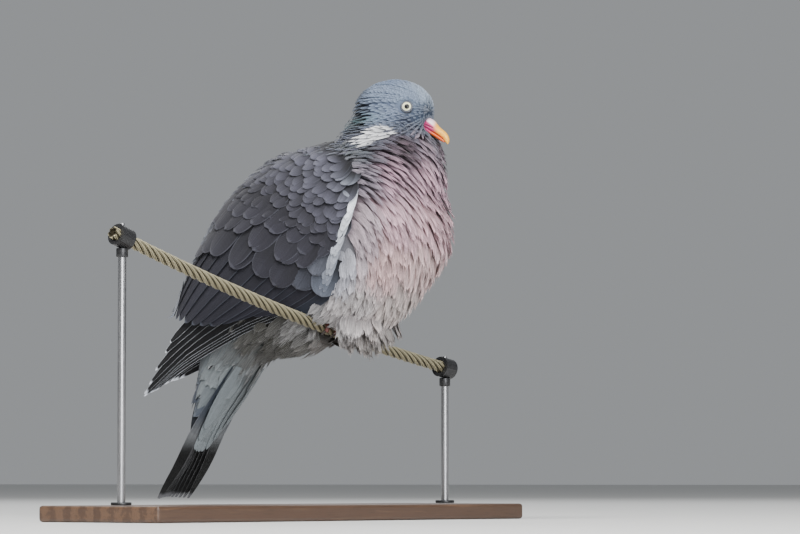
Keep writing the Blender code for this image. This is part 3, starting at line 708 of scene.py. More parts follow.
SPOTS = {
    "forehead": ((80, 0, 184), (3.6, 2.2, 1.25, 0.8, 0.08), (15, 19, 25), (36, 45, 57), (50, 30, 20)),
    "crown": ((52, 0, 199), (5.8, 2.7, 1.7, 1.2, 0.25), (4, 5.6, 9.2), (14.5, 20.3, 32.5), (60, 35, 30)),
    "hindcrown": ((24, 0, 188), (8, 2.7, 2.4, 2, 0.5), (1.6, 2.2, 3.4), (5.8, 7.8, 11.8), (80, 45, 40)),
    "temple": ((50, 19, 185), (4.8, 2.5, 1.5, 1, 0.16), (7, 9, 13.5), (20.5, 26, 36), (60, 35, 25)),
    "brow": ((70, 16, 183), (3.2, 2.1, 1.1, 0.7, 0.04), (12, 15.5, 21.5), (20.5, 26, 35.5)),
    "cheek": ((60, 20, 164), (4.2, 2.5, 1.3, 0.9, 0.08), (8, 10, 15), (18.5, 23.5, 34)),
    "ear": ((52, 22, 171), (5.8, 3, 1.7, 1.2, 0.1), (8, 10, 15), (17.5, 22.5, 31.5)),
    "lore": ((78, 9, 168), (3.4, 1.8, 1.3, 0.9, 0.12), (6, 8, 12), (18, 22.5, 31), (60, 30, 40)),
    "chin": ((78, 7, 160), (4.2, 1.9, 1.4, 1, 0.15), (6, 7.5, 11), (22, 26.5, 34.5), (60, 30, 30)),
    "jaw": ((66, 18, 160), (5, 1.8, 1.8, 1.5, 0.3), (3, 3.5, 5.5), (16, 20, 28), (80, 45, 60)),
    "nape": ((12, 8, 170), (13, 2.8, 4, 2.8, 1), (0.6, 0.8, 1.2), (4.5, 5.6, 8.5), (90, 50, 65)),
    "neck_side": ((32, 29, 167), (12, 2.4, 3.7, 2.8, 1), (0.8, 1, 1.4), (13.5, 16.5, 24), (90, 50, 75)),
    "nape_side": ((20, 20, 175), (12, 2.7, 4.1, 2.6, 1), (1.2, 1.5, 2.2), (7.5, 9.8, 14.8), (90, 50, 60)),
    "neck_low": ((36, 42, 152), (14, 2.9, 3.7, 3.2, 1), (0.8, 0.8, 1.2), (19, 21, 28.5), (90, 50, 75)),
    "neck_back": ((5, 20, 148), (15, 4.2, 4.2, 3.2, 1.2), (1.5, 1.6, 2.4), (15, 16, 21), (70, 45, 60)),
    "throat": ((80, 12, 152), (12, 3.4, 3.6, 3, 1), (6, 4, 5.2), (44, 32, 40), (80, 45, 35)),
    "throat_side": ((66, 34, 150), (18, 3.5, 3.3, 4.2, 1.6), (1, 0.7, 1), (12.5, 8, 10.8), (90, 45, 80)),
    "ruff_back": ((36, 44, 140), (17, 3.7, 3.3, 4, 1.1), (1.6, 1.6, 2.2), (18, 17, 22.5), (85, 45, 55)),
    "breast_top": ((88, 18, 132), (22, 4.6, 4.5, 5.2, 2.2), (18, 11, 14), (80, 49, 60), (85, 45, 20)),
    "breast_top_side": ((62, 48, 130), (21, 4.3, 3.6, 4.8, 1.5), (9, 5.5, 7.5), (66, 41, 52), (85, 42, 40)),
    "shoulder": ((45, 56, 122), (17, 3.9, 3.3, 4, 1.1), (5, 4.5, 5.8), (34, 28.5, 35.5), (80, 42, 40)),
    "breast": ((95, 20, 100), (24, 6.5, 5.2, 6, 2.4), (34, 19, 21), (90, 58, 64), (75, 40, 10)),
    "breast_side": ((72, 52, 98), (23, 6.8, 5.4, 5.4, 1.6), (30, 18, 21), (80, 53, 60), (60, 42, 12)),
    "breast_low": ((92, 20, 66), (24, 8, 5.8, 6, 2.6), (46, 31, 30), (92, 68, 67), (70, 40, 6)),
    "belly_front": ((70, 50, 66), (23, 9.5, 6.2, 5.6, 1.8), (40, 26.5, 26.5), (84, 57.5, 57), (50, 40, 5)),
    "belly": ((70, 15, 28), (23, 9, 6.2, 6, 2.8), (34, 28.5, 27), (72, 62, 59), (60, 40, 6)),
    "belly_side": ((45, 48, 32), (21, 9.5, 6.2, 6, 2), (30, 27, 27), (60, 56, 56), (30, 40, 3)),
    "flank": ((28, 62, 62), (21, 9.5, 6.2, 5, 1.5), (28, 28.5, 32), (52, 52.5, 60), (30, 40, 3)),
    "flank_top": ((45, 60, 92), (22, 7.5, 6, 4.6, 1.2), (24, 19, 21.5), (52, 42, 47), (50, 40, 6)),
    # thigh, belly_mid, vent and vent_side grow darker the lower they lie, the vent near black: painted shadow
    # under the body.
    "thigh": ((5, 45, 15), (24, 10, 7, 5.5, 1.6), (12, 12, 12.5), (28, 28, 28), (30, 35, 10)),
    "belly_mid": ((35, 0, 5), (19, 8, 6, 5.5, 1.8), (16, 14, 13), (40, 36, 34), (40, 35, 5)),
    "vent": ((-30, 20, 0), (25, 12, 8, 5, 1), (3.2, 3.1, 2.3), (4.2, 4, 3), (35, 35, 0)),
    "vent_side": ((-35, 40, 20), (25, 12, 8, 4.5, 0.8), (4.2, 4.1, 3.6), (7, 6.8, 5.8), (35, 35, 0)),
    "mantle": ((-12, 20, 140), (20, 8, 6, 4.2, 1.8), (0.9, 0.9, 1.2), (7.4, 7.6, 10.4), (50, 45, 55)),
    "mantle_side": ((5, 42, 135), (20, 6.5, 5.4, 4.2, 1.8), (0.7, 0.7, 1), (7.8, 8, 11), (60, 45, 65)),
    "back": ((-55, 15, 110), (20, 9, 6.6, 3.8, 0.6), (2.5, 2.7, 3.6), (9.5, 10.3, 13.8), (35, 42, 40)),
    "rump": ((-95, 12, 60), (18, 8.5, 6.2, 3.4, 0.8), (8, 9, 12), (20, 23.5, 31), (20, 30, 15)),
    "tail_top": ((-112, 8, -5), (30, 13, 8.5, 2.6, 0.3), (5, 6, 8), (7.5, 8.8, 11.5), (20, 40, 10)),
    "tail_side": ((-98, 22, -22), (32, 13, 8, 2.4, 0.15), (3, 3.6, 5), (3.2, 4.1, 6.4), (20, 40, 0)),
    "tail_end": ((-113, 20, -60), (34, 13, 8, 1.6, 0.1), (3, 3.5, 4.5), (5, 6, 8.5), (20, 40, 10)),
    "under_side": ((-80, 22, -12), (32, 14, 8, 2.2, 0.1), (11, 12.5, 13), (15.5, 17.5, 18.5), (10, 40, 0)),
    "under_tail": ((-70, 10, -30), (34, 15, 8.5, 2.2, 0.1), (15, 17, 18), (19.5, 22.2, 23.8), (10, 40, 0)),
    "under_end": ((-93, 14, -62), (34, 15, 8.5, 2, 0.1), (17, 19.5, 21), (21.5, 25, 27), (10, 40, 0)),
}


class Markings:
    """Sizes and colours of the plumage at any place, blended from the named spots."""

    # The last trait is the painted shade along each feather's edges.
    names = ("length", "width", "apart", "depth", "lift", "point", "shown", "dark")

    def __init__(self, sharp: float = 5.0) -> None:
        """Gather the spots.

        Args:
            sharp: how strongly the nearest spots count.
        """
        self.sharp = sharp
        spots = [Spot(*row) for row in SPOTS.values()]
        self.at = np.array([s.at for s in spots], float)
        self.sizes = np.array([(*s.size, *s.form, *s.root, *s.tip) for s in spots], float)
        self.sizes[:, 5:] /= 100

    def read(self, points: Array, upper: Array | float = 1.0) -> dict[str, Array]:
        """Blend the spots.

        Args:
            points: places on the body, one to a row.
            upper: 1 for the plumage of the head and neck, 0 for the rest.

        Returns:
            The sizes and colours there, by name.
        """
        far = np.linalg.norm(folded(points)[:, None, :] - self.at[None], axis=2) + 1.5
        share = far**-self.sharp
        out = (share / share.sum(axis=1, keepdims=True)) @ self.sizes
        traits = {name: out[:, k] for k, name in enumerate(self.names)}
        white, gloss = self.patches(points)
        white = white * upper
        # The white patch takes less painted edge shade, and narrower feathers set closer.
        for name, loss in (("dark", 0.85), ("width", 0.08), ("apart", 0.42)):
            traits[name] = traits[name] * (1 - loss * white)
        glossed = blend(out[:, 11:], (0.045, 0.135, 0.125), 0.75 * gloss)
        traits["tip"] = blend(glossed, (0.97, 0.97, 0.99), white)
        traits["root"] = blend(out[:, 8:11], (0.60, 0.61, 0.63), 0.7 * white)
        return traits

    @staticmethod
    def patches(points: Array) -> tuple[Array, Array]:
        """How much of the white neck patch and of the green gloss lies at each place.

        Args:
            points: places on the body.

        Returns:
            Both shares.
        """
        x, y, z = points[:, 0], np.abs(points[:, 1]), points[:, 2]
        slant = np.abs(z - 151.5 - 0.20 * (x - 40))
        white = smooth(-0.8, 0.8, 7.2 * (1 - ((x - 55) / 14) ** 2) - slant) * smooth(18, 26, y)
        gloss = np.exp(-(((x - 38) / 13) ** 2 + ((z - 169) / 6) ** 2)) * smooth(10, 18, y)
        gloss += 0.5 * np.exp(-(((x - 25) / 16) ** 2 + ((z - 139) / 7) ** 2)) * smooth(25, 35, y)
        return white, np.clip(gloss, 0, 1)


MARKINGS = Markings()


class Lie:
    """The direction in which the feathers lie."""

    bill = np.array([84.0, 0.0, 172.0])
    hubs = Table({25: (-14.0, 40.0), 70: (3.0, 50.0), 110: (22.0, 55.0), 150: (45.0, 67.0)})

    @staticmethod
    def crease(x: Array) -> Array:
        """Height of the fold between the head's plumage and the puffed breast."""
        return 145.0 + 2.0 * smooth(10, 40, x) + 12.5 * smooth(44, 66, x)

    def at(self, points: Array, outward: Array, upper: bool) -> Array:
        """Directions along the surface.

        Args:
            points: places on the body.
            outward: directions out of it there.
            upper: whether for the plumage of the head and neck.

        Returns:
            One unit direction to a row.
        """
        x, z = points[:, 0], points[:, 2]
        station, height = FORM.station(points)
        away = unit(points - self.bill)
        neck = np.broadcast_to(unit(np.array([-0.90, 0.0, -0.42])), points.shape)
        tail = np.broadcast_to([-math.cos(FORM.pitch), 0.0, -math.sin(FORM.pitch)], points.shape)
        hub = self.hubs.at(z)
        swirl = unit(np.stack([z - hub[:, 1], 0 * x, hub[:, 0] - x], axis=1))
        head = smooth(40, 26, off_skull(points))[:, None]
        neck = unit(neck - np.array([0.0, 0.0, 0.35]) * smooth(8, -2, z - self.crease(x))[:, None])
        low_front = smooth(-20, 34, x)
        high_front = smooth(20, 40, x + 20 * smooth(115, 130, z))
        front = (low_front * smooth(90, 50, z) + high_front * smooth(50, 90, z))[:, None]
        vent = smooth(-60, -20, height)[:, None]
        level = np.broadcast_to([-1.0, 0.0, -0.25], points.shape)
        rear = unit(tail * vent + level * (1 - vent))
        flow = head * away + (1 - head) * neck if upper else front * swirl + (1 - front) * rear
        flow = flow - dot(flow, outward) * outward
        return unit(flow)


LIE = Lie()


# ---- feathers


@dataclass
class Vanes:
    """Many feathers of one kind: K places along each and C across it."""

    line: Array
    outward: Array
    rise: Array
    half: Array
    root_tint: Array
    tip_tint: Array
    stops: Array
    columns: int = 5
    camber: Array | float = 0.25
    tilt: Array | float = 0.0
    fray: Array | float = 0.0
    skew: float = 0.0
    tint_power: float = 1.0
    # painted shade: how much the vane darkens towards its sides
    edge_painted_shade: Array | float = 0.0
    patch_size: ClassVar[float] = 0.003

    def build(self, name: str, patch: Array, seed: int = 1) -> Thing:
        """Make the feathers as one mesh of closed vanes.

        Args:
            name: the object's name.
            patch: each feather's place on the unwrap of the skin.
            seed: start of the random numbers.

        Returns:
            The object, with its maps and tints.
        """
        rng = np.random.default_rng(seed)
        n, k = self.line.shape[:2]
        c, u = self.columns, self.stops
        v = np.linspace(-1, 1, c)
        ahead = unit(np.gradient(self.line, axis=1))
        left = unit(np.cross(self.outward, ahead))
        up = np.cross(ahead, left)
        half = self.half[:, :, None]

        def each(value: Array | float) -> Array:
            """One number for every feather, ready for its grid of points."""
            return np.broadcast_to(np.asarray(value, float).reshape(-1, 1, 1), (n, 1, 1))

        across = half * (v + self.skew * (1 - v * v))
        lift = self.rise[:, :, None] - each(self.camber) * half * v**2 + each(self.tilt) * half * v
        torn = rng.uniform(-1, 1, (n, 1, c)) * each(self.fray) * smooth(0.72, 1.0, u)[None, :, None]
        points = self.line[:, :, None, :]
        for way, far in ((left, across), (up, lift), (ahead, torn)):
            points = points + way[:, :, None, :] * far[..., None]
        # The root colour, darker than the tip, is partly the feather's own dark base and partly painted shade
        # under the feather that overlaps it.
        share = (u**self.tint_power)[None, :, None, None]
        tint = self.root_tint[:, None, None, :] * (1 - share) + self.tip_tint[:, None, None, :] * share
        # Painted shade: the vane darkens towards its sides, so that each row reads as a ridge between dark
        # furrows.
        tint = tint * (1 - each(self.edge_painted_shade)[..., None] * (np.abs(v) ** 1.5)[None, None, :, None])
        tint = tint * rng.uniform(0.9, 1.1, (n, 1, 1, 1))
        vane = np.empty((n, k, c, 2))
        vane[..., 0], vane[..., 1] = (v + 1) / 2, u[None, :, None]
        spot = patch[:, None, None, :] + (vane - 0.5) * self.patch_size
        sizes, corners = self.pattern(k, c)
        shift = (np.arange(n) * k * c)[:, None]
        every = (corners[None] + shift).ravel()
        made = mesh_object(name, in_frame(points.reshape(-1, 3)), np.tile(sizes, n), every)
        add_uv(made.data, "Vane", vane.reshape(-1, 2))
        add_uv(made.data, "OFBake", spot.reshape(-1, 2))
        add_tint(made.data, np.broadcast_to(tint, (n, k, c, 3)).reshape(-1, 3))
        made.data.uv_layers["OFBake"].active_render = True
        self.crease_rims(made.data, k, c)
        return made

    @staticmethod
    def pattern(k: int, c: int) -> tuple[Array, Array]:
        """Faces of one closed vane: an upper side, a lower side and two ends.

        Args:
            k: places along it.
            c: places across it.

        Returns:
            How many corners each face has, and the corners in turn.
        """
        corners = []
        for a in range(0, (k - 1) * c, c):
            for b in range(a, a + c - 1):
                corners += [b, b + c, b + c + 1, b + 1]
            corners += [a, a + c - 1, a + 2 * c - 1, a + c]
        corners += [*range(c), *reversed(range((k - 1) * c, k * c))]
        return np.array([4] * ((k - 1) * c) + [c, c]), np.array(corners)

    @staticmethod
    def crease_rims(mesh: bpy.types.Mesh, k: int, c: int) -> None:
        """Mark the vanes' outlines sharp, so that the two sides shade apart.

        Args:
            mesh: the vanes' mesh.
            k: places along each.
            c: places across each.
        """
        ends = np.empty(len(mesh.edges) * 2, np.int32)
        mesh.edges.foreach_get("vertices", ends)
        place = ends.reshape(-1, 2) % (k * c)
        row, column = place // c, place % c
        side = ((column == 0) | (column == c - 1)).all(axis=1)
        end = ((row == 0) | (row == k - 1)).all(axis=1) & (row[:, 0] == row[:, 1])
        layer = mesh.attributes.get("sharp_edge") or mesh.attributes.new("sharp_edge", "BOOLEAN", "EDGE")
        layer.data.foreach_set("value", side | end)


def outline(u: Array, point: Array, root: float = 0.35) -> Array:
    """Half width along a feather, as a share of its widest.

    Args:
        u: places along it, from 0 to 1.
        point: 0 for a round end and 1 for a pointed one, one for each feather.
        root: the share at the base.

    Returns:
        One row of shares for each feather.
    """
    start = root + (1 - root) * np.minimum(1, u / 0.45) ** 0.7
    past = np.clip((u - 0.55) / 0.45, 0, 1)
    round_end = np.sqrt(np.clip(1 - past**2.2, 0.0, 1)) * 0.96 + 0.04
    past = np.clip((u - 0.35) / 0.65, 0, 1)
    pointed = 1 - 0.93 * past**1.25
    point = np.asarray(point, float).reshape(-1, 1)
    return start * (round_end * (1 - point) + pointed * point)


def unwrap(points: Array) -> Array:
    """Places of the body on one flat map, round it and along its spine.

    Args:
        points: places on the body, one to a row.

    Returns:
        Two shares from 0 to 1 for each.
    """
    station, height = FORM.station(points)
    tilt = smooth(40, 110, station)
    ahead = points[:, 0] - 46.0
    back = height * (1 - tilt) - ahead * tilt
    turn = np.arctan2(points[:, 1], back) / (2 * math.pi) + 0.5
    long = (station + 220) / 420
    return np.stack([0.02 + 0.96 * turn, 0.02 + 0.96 * np.clip(long, 0, 1)], axis=1)


@dataclass
class Rows:
    """Rows of feathers traced over the surface along their lie, evenly apart.

    A row ends where another comes nearer than crowding times their distance apart. grids are the sizes of
    the cells in which the rows' places are looked up.
    """

    surface: Surface
    open: Array
    upper: bool
    step: float = 1.1
    overrun: float = 34.0
    lead: float = 7.0
    longest: float = 90.0
    crowding: float = 0.62
    seed: int = 7
    grids: ClassVar = (1.8, 3.6, 7.2)

    def __post_init__(self) -> None:
        """Read the lie and spacing for every face once."""
        s = self.surface
        self.flow = LIE.at(s.middles, s.outward, self.upper)
        self.apart = MARKINGS.read(s.middles)["apart"]
        self.cells: dict[tuple[int, int, int, int], list] = {}

    def near(self, p: Vector, limit: float, but: int = -1) -> bool:
        """Whether another row runs within this distance.

        Args:
            p: the place.
            limit: the distance.
            but: a row that doesn't count.

        Returns:
            True when one does.
        """
        level = sum(limit > size for size in self.grids[:-1])
        size = self.grids[level]
        i, j, k = (math.floor(v / size) for v in p)
        square = limit * limit
        for a in (i - 1, i, i + 1):
            for b in (j - 1, j, j + 1):
                for c in (k - 1, k, k + 1):
                    for x, y, z, row in self.cells.get((level, a, b, c), ()):
                        if row != but and (x - p[0]) ** 2 + (y - p[1]) ** 2 + (z - p[2]) ** 2 < square:
                            return True
        return False

    def mark(self, p: Vector, row: int) -> None:
        """Note that a row passes here."""
        for level, size in enumerate(self.grids):
            key = (level, *(math.floor(v / size) for v in p))
            self.cells.setdefault(key, []).append((p[0], p[1], p[2], row))

    def walk(self, start: Vector, face: int, way: int, row: int) -> list[tuple[Vector, int]]:
        """Follow the lie from a place.

        Args:
            start: the place.
            face: the surface's face there.
            way: 1 towards the tips, -1 against the lie.
            row: this row's number.

        Returns:
            The places passed and their faces.
        """
        path, p, last = [], start, Vector(self.flow[face]) * way
        while len(path) * self.step < self.longest:
            flow = Vector(self.flow[face]) * way
            if flow.dot(last) < 0.1:
                break
            last = flow
            p, _, face, _ = self.surface.tree.find_nearest(p + flow * self.step)
            if not self.open[face] or self.near(p, self.apart[face] * self.crowding, row):
                break
            path.append((p, face))
        return path

    def led_in(self, path: list[tuple[Vector, int]]) -> list[tuple[Vector, int]]:
        """Places before a row's first one, under the feathers next to it."""
        places: list[tuple[Vector, int]] = []
        p, at = path[0]
        last = Vector(self.flow[at])
        for _ in range(int(self.lead / self.step)):
            flow = Vector(self.flow[at])
            last = flow if flow.dot(last) > 0.3 else last
            p, _, at, _ = self.surface.tree.find_nearest(p - last * self.step)
            places.append((p, at))
        return places[::-1]

    def trace(self) -> list[tuple[Array, Array, int]]:
        """Cover the open surface with rows.

        Returns:
            Each row's points, its outward directions and how many of them may hold a root.
        """
        rng = np.random.default_rng(self.seed)
        order = rng.permutation(np.flatnonzero(self.open))
        rows = []
        for face in order:
            start = Vector(self.surface.middles[face])
            if self.near(start, self.apart[face]):
                continue
            row = len(rows)
            fore = self.walk(start, int(face), 1, row)
            path = self.walk(start, int(face), -1, row)[::-1] + [(start, int(face))] + fore
            for p, _ in path:
                self.mark(p, row)
            if not self.upper:
                path = self.led_in(path) + path
            held = len(path)
            p, at = path[-1]
            heading = Vector(self.flow[at])
            free = False
            for _ in range(int(self.overrun / self.step)):
                flow = Vector(self.flow[at])
                heading = flow if not free and flow.dot(heading) > 0.3 else heading
                ahead = p + heading * self.step
                p, _, face, _ = self.surface.tree.find_nearest(ahead)
                free = free or (p - ahead).length > 0.7 * self.step
                p, at = (ahead, at) if free else (p, face)
                path.append((p, at))
            index = np.array([f for _, f in path])
            rows.append((np.array([tuple(p) for p, _ in path]), self.surface.outward[index], held))
        return rows


# ---- skin and body plumage


@dataclass
class Growth:
    """Feathers before they are shaped, one to a row of each array.

    line and outward follow a feather over the surface, root is where it grows, long is its length and
    upper is 1 on the head and neck.
    """

    line: Array
    outward: Array
    root: Array
    long: Array
    upper: Array

    def pick(self, chosen: Array) -> "Growth":
        """Some of the feathers."""
        return Growth(*(getattr(self, f.name)[chosen] for f in fields(self)))

    @staticmethod
    def join(parts: list["Growth"]) -> "Growth":
        """Several growths as one."""
        return Growth(*(np.concatenate([getattr(p, f.name) for p in parts]) for f in fields(Growth)))


@dataclass
class Body:
    """The skin in one piece and the plumage that grows on it.

    The outer surface is swollen over the solids' cuts and then drawn back. Past tail_from along the tail
    it is smoothed more, and hulls over slices of the tail's root fill its furrows. No body feathers grow
    nearer to a wing than wing_room below its shoulder_line, given in degrees.
    """

    flesh: tuple[str, ...] = ("trunk", "neck", "head", "undertail_coverts")
    wings: tuple[str, ...] = (
        "wing_left_coverts",
        "wing_right_coverts",
        "wing_left_secondaries",
        "wing_right_secondaries",
    )
    voxel: float = 1.7
    swell: float = 0.55
    draw_back: float = 0.35
    tail_from: float = 6.0
    hull_starts: tuple[float, ...] = (8.0, 22.0, 38.0, 54.0, 70.0)
    hull_long: float = 24.0
    hull_half: float = 27.0
    hull_voxel: float = 2.5
    eye_room: float = 4.6
    bill: Triple = (77.5, 0.0, 163.6)
    bill_room: float = 5.2
    wing_room: float = 1.8
    shoulder_line: float = 61.0
    lap: float = 4.0
    wing_gap: float = 1.6
    loosest: float = 5.0
    tufts: int = 150
    stops: tuple[float, ...] = (0.0, 0.3, 0.58, 0.8, 0.93, 1.0)

    def form(self, nodes: tuple[str, ...]) -> Thing:
        """One outer surface over several solids, closed over their cuts."""
        thing = Bench.copy(nodes, "body_form")
        Bench.modify(thing, "DISPLACE", strength=self.swell * MM, mid_level=0.0)
        Bench.modify(thing, "REMESH", mode="VOXEL", voxel_size=self.voxel * MM)
        thing = Bench.join([thing, *self.tail_root()], "body_form")
        Bench.modify(thing, "REMESH", mode="VOXEL", voxel_size=self.voxel * MM)
        Bench.modify(thing, "SMOOTH", factor=0.5, iterations=14)
        Bench.modify(thing, "DISPLACE", strength=-self.draw_back * MM, mid_level=0.0)
        forward, _ = Tail().along(bird_points(thing))
        group = thing.vertex_groups.new(name="tail")
        group.add(np.flatnonzero(forward > self.tail_from).tolist(), 1.0, "REPLACE")
        Bench.modify(thing, "SMOOTH", factor=0.8, iterations=70, vertex_group="tail")
        points = self.settled(bird_points(thing))
        place_points(thing.data, in_frame(points))
        return thing

    def tail_root(self) -> list[Thing]:
        """Close hulls over the tail's root, which fill the furrows along its sides."""
        flesh = Bench.copy((*self.flesh, "tail_feathers"), "flesh")
        Bench.modify(flesh, "REMESH", mode="VOXEL", voxel_size=self.hull_voxel * MM)
        points = bird_points(flesh)
        Bench.drop(flesh)
        forward, _ = Tail().along(points)
        hulls = []
        middle = np.abs(points[:, 1]) < self.hull_half
        for low in self.hull_starts:
            chosen = points[(forward > low) & (forward < low + self.hull_long) & middle]
            if len(chosen) < 20:
                continue
            shape = bmesh.new()
            for p in in_frame(chosen[::2]):
                shape.verts.new(p)
            hull = bmesh.ops.convex_hull(shape, input=shape.verts)
            loose = (*hull["geom_interior"], *hull["geom_unused"])
            spare = {v for v in loose if isinstance(v, bmesh.types.BMVert)}
            bmesh.ops.delete(shape, geom=list(spare), context="VERTS")
            mesh = bpy.data.meshes.new("tail_hull")
            shape.to_mesh(mesh)
            shape.free()
            hulls.append(Bench.add("tail_hull", mesh))
        return hulls

    @staticmethod
    def settled(points: Array) -> Array:
        """Draw in the nape and lay the coverts close under the tail.

        Args:
            points: places on the outer surface.

        Returns:
            The places moved.
        """
        x, z = points[:, 0], points[:, 2]
        nape = smooth(22, 3, x) * smooth(140, 149, z) * smooth(182, 168, z)
        nape = nape * (7.0 + 3.0 * smooth(168, 152, z))
        corner = smooth(-26, -8, x) * smooth(16, 4, x) * smooth(144, 152, z) * smooth(172, 160, z)
        forward, under = Tail().along(points)
        deep = 3.5 + 6.5 * smooth(-6, 16, under) * smooth(20, 8, np.abs(points[:, 1]))
        flat = smooth(0, 28, forward) * smooth(112, 80, forward) * deep
        c, s = math.cos(Tail.pitch), math.sin(Tail.pitch)
        drawn = nape[:, None] * np.array([1.0, 0, 0]) - corner[:, None] * np.array([0, 0, 4.0])
        return points + drawn - flat[:, None] * np.array([s, 0, -c])

    def skin(self) -> Thing:
        """The skin, inside the outer surface by the depth of the plumage."""
        thing = self.form(self.flesh + self.wings[:2])
        thing.name = thing.data.name = "skin"
        surface = Surface(thing)
        points = surface.points
        traits = MARKINGS.read(points)
        near_eye = np.linalg.norm(folded(points) - EYE, axis=1)
        depth = traits["depth"] * smooth(3.5, 8.0, near_eye) + 0.35
        place_points(thing.data, in_frame(points - surface.normals * depth[:, None]))
        # The skin takes the feathers' root colour, halved away from the head: its dark down, and painted
        # shade in the gaps between the feathers.
        small = smooth(34, 24, off_skull(points))[:, None]
        add_tint(thing.data, traits["root"] * (0.5 + 0.5 * small))
        add_uv(thing.data, "OFBake", unwrap(points))
        bpy.ops.object.shade_smooth()
        return thing

    def openings(self) -> Array:
        """Which faces of the surface carry body plumage."""
        s = self.surface
        open_ = np.linalg.norm(folded(s.middles) - EYE, axis=1) > self.eye_room
        open_ &= np.linalg.norm(s.middles - self.bill, axis=1) > self.bill_room
        twin = Bench.copy(self.wings, "wing_form")
        faces = [tuple(p.vertices) for p in twin.data.polygons]
        self.wing_tree = BVHTree.FromPolygons(bird_points(twin).tolist(), faces)
        Bench.drop(twin)
        far = np.array([self.wing_tree.find_nearest(p)[3] for p in s.middles.tolist()])
        station, height = FORM.station(s.middles)
        angle = np.degrees(np.arctan2(height, np.abs(s.middles[:, 1])))
        under_wing = (far < self.wing_room) & (angle < self.shoulder_line)
        under_wing |= (station < -70) & (np.abs(s.middles[:, 1]) > 26) & (s.middles[:, 2] > 20)
        return open_ & ~under_wing

    def plumage(self) -> list[Thing]:
        """All the body's feathers, in pieces by region."""
        open_ = self.openings()
        above = self.surface.middles[:, 2] - LIE.crease(self.surface.middles[:, 0])
        rng = np.random.default_rng(11)
        stops = np.array(self.stops)
        traced = [(row, 1.0) for row in Rows(self.surface, open_ & (above > -self.lap), True).trace()]
        traced += [(row, 0.0) for row in Rows(self.surface, open_ & (above < self.lap), False).trace()]
        LOG.info("%d rows of body feathers", len(traced))
        grown = []
        for (path, outward, held), upper in traced:
            run = run_along(path)
            traits = MARKINGS.read(path[:held:3])
            pitch = float(np.mean(traits["length"] * traits["shown"]))
            count = max(1, int(run[held - 1] / pitch))
            at = (np.arange(count) + rng.uniform(0, 1)) * pitch + rng.normal(0, 0.12 * pitch, count)
            at = np.clip(at, 0, max(run[held - 1], 0.1))
            root = read_along(at, run, path)
            long = MARKINGS.read(root)["length"] * rng.uniform(0.86, 1.12, count)
            where = np.minimum(at[:, None] + stops * long[:, None], run[-1])
            line, out = read_along(where, run, path), unit(read_along(where, run, outward))
            grown.append(Growth(line, out, root, long, np.full(count, upper)))
        coat = Growth.join(grown)
        coat = coat.pick(self.clear_of_wings(coat))
        return self.dress(Growth.join([coat, self.drape(open_, rng)]), rng)

    def drape(self, open_: Array, rng: np.random.Generator) -> Growth:
        """Loose tufts that hang straight from the belly over the feet and the rope.

        Args:
            open_: which faces carry plumage.
            rng: random numbers.

        Returns:
            The tufts.
        """
        s = self.surface
        x, y, z = s.middles.T
        fits = open_ & (z < 20) & (z > 2) & (x < 48) & (np.abs(y) < 42)
        fits &= (self.before_foot(s.middles) > 9) & (s.outward[:, 2] < 0.1)
        chosen = rng.choice(np.flatnonzero(fits), self.tufts, replace=False)
        root, outward = s.middles[chosen], s.outward[chosen]
        way = LIE.at(root, outward, False) * 0.45 + np.array([0.0, 0.0, -0.75]) + outward * 0.25
        way = unit(way + rng.normal(0, 0.08, way.shape))
        long = rng.uniform(0.8, 1.15, len(root)) * (10 + 7 * smooth(5, 35, root[:, 0]))
        line = root[:, None, :] + way[:, None, :] * (np.array(self.stops) * long[:, None])[..., None]
        out = unit(outward - dot(outward, way) * way)
        return Growth(line, np.broadcast_to(out[:, None, :], line.shape), root, long, np.zeros(len(root)))

    @staticmethod
    def before_foot(points: Array) -> Array:
        """How far the points lie before the feet, square to the rope."""
        return 0.91 * points[:, 0] - 0.42 * np.abs(points[:, 1])

    def clear_of_wings(self, coat: Growth) -> Array:
        """Which feathers keep close to the body, off the feet and the quills, and below off the wings.

        Args:
            coat: the feathers.

        Returns:
            True for those.
        """
        _, height = FORM.station(coat.root)
        lines = coat.line.tolist()
        far = [min(self.wing_tree.find_nearest(p)[3] for p in (row[3], row[-1])) for row in lines]
        loose = np.array([self.surface.tree.find_nearest(row[-1])[3] for row in lines])
        end = coat.line[:, -1]
        before = self.before_foot(end)
        over_foot = (before > -13) & (before < 10) & (end[:, 2] < 5.0)
        forward, under = Tail().along(end)
        on_quills = (forward > 82) | (forward > 64) & (under > -3.0) & (np.abs(end[:, 1]) > 10)
        clear = (np.array(far) > self.wing_gap) | (height > 0)
        return clear & (loose < self.loosest) & ~over_foot & ~on_quills

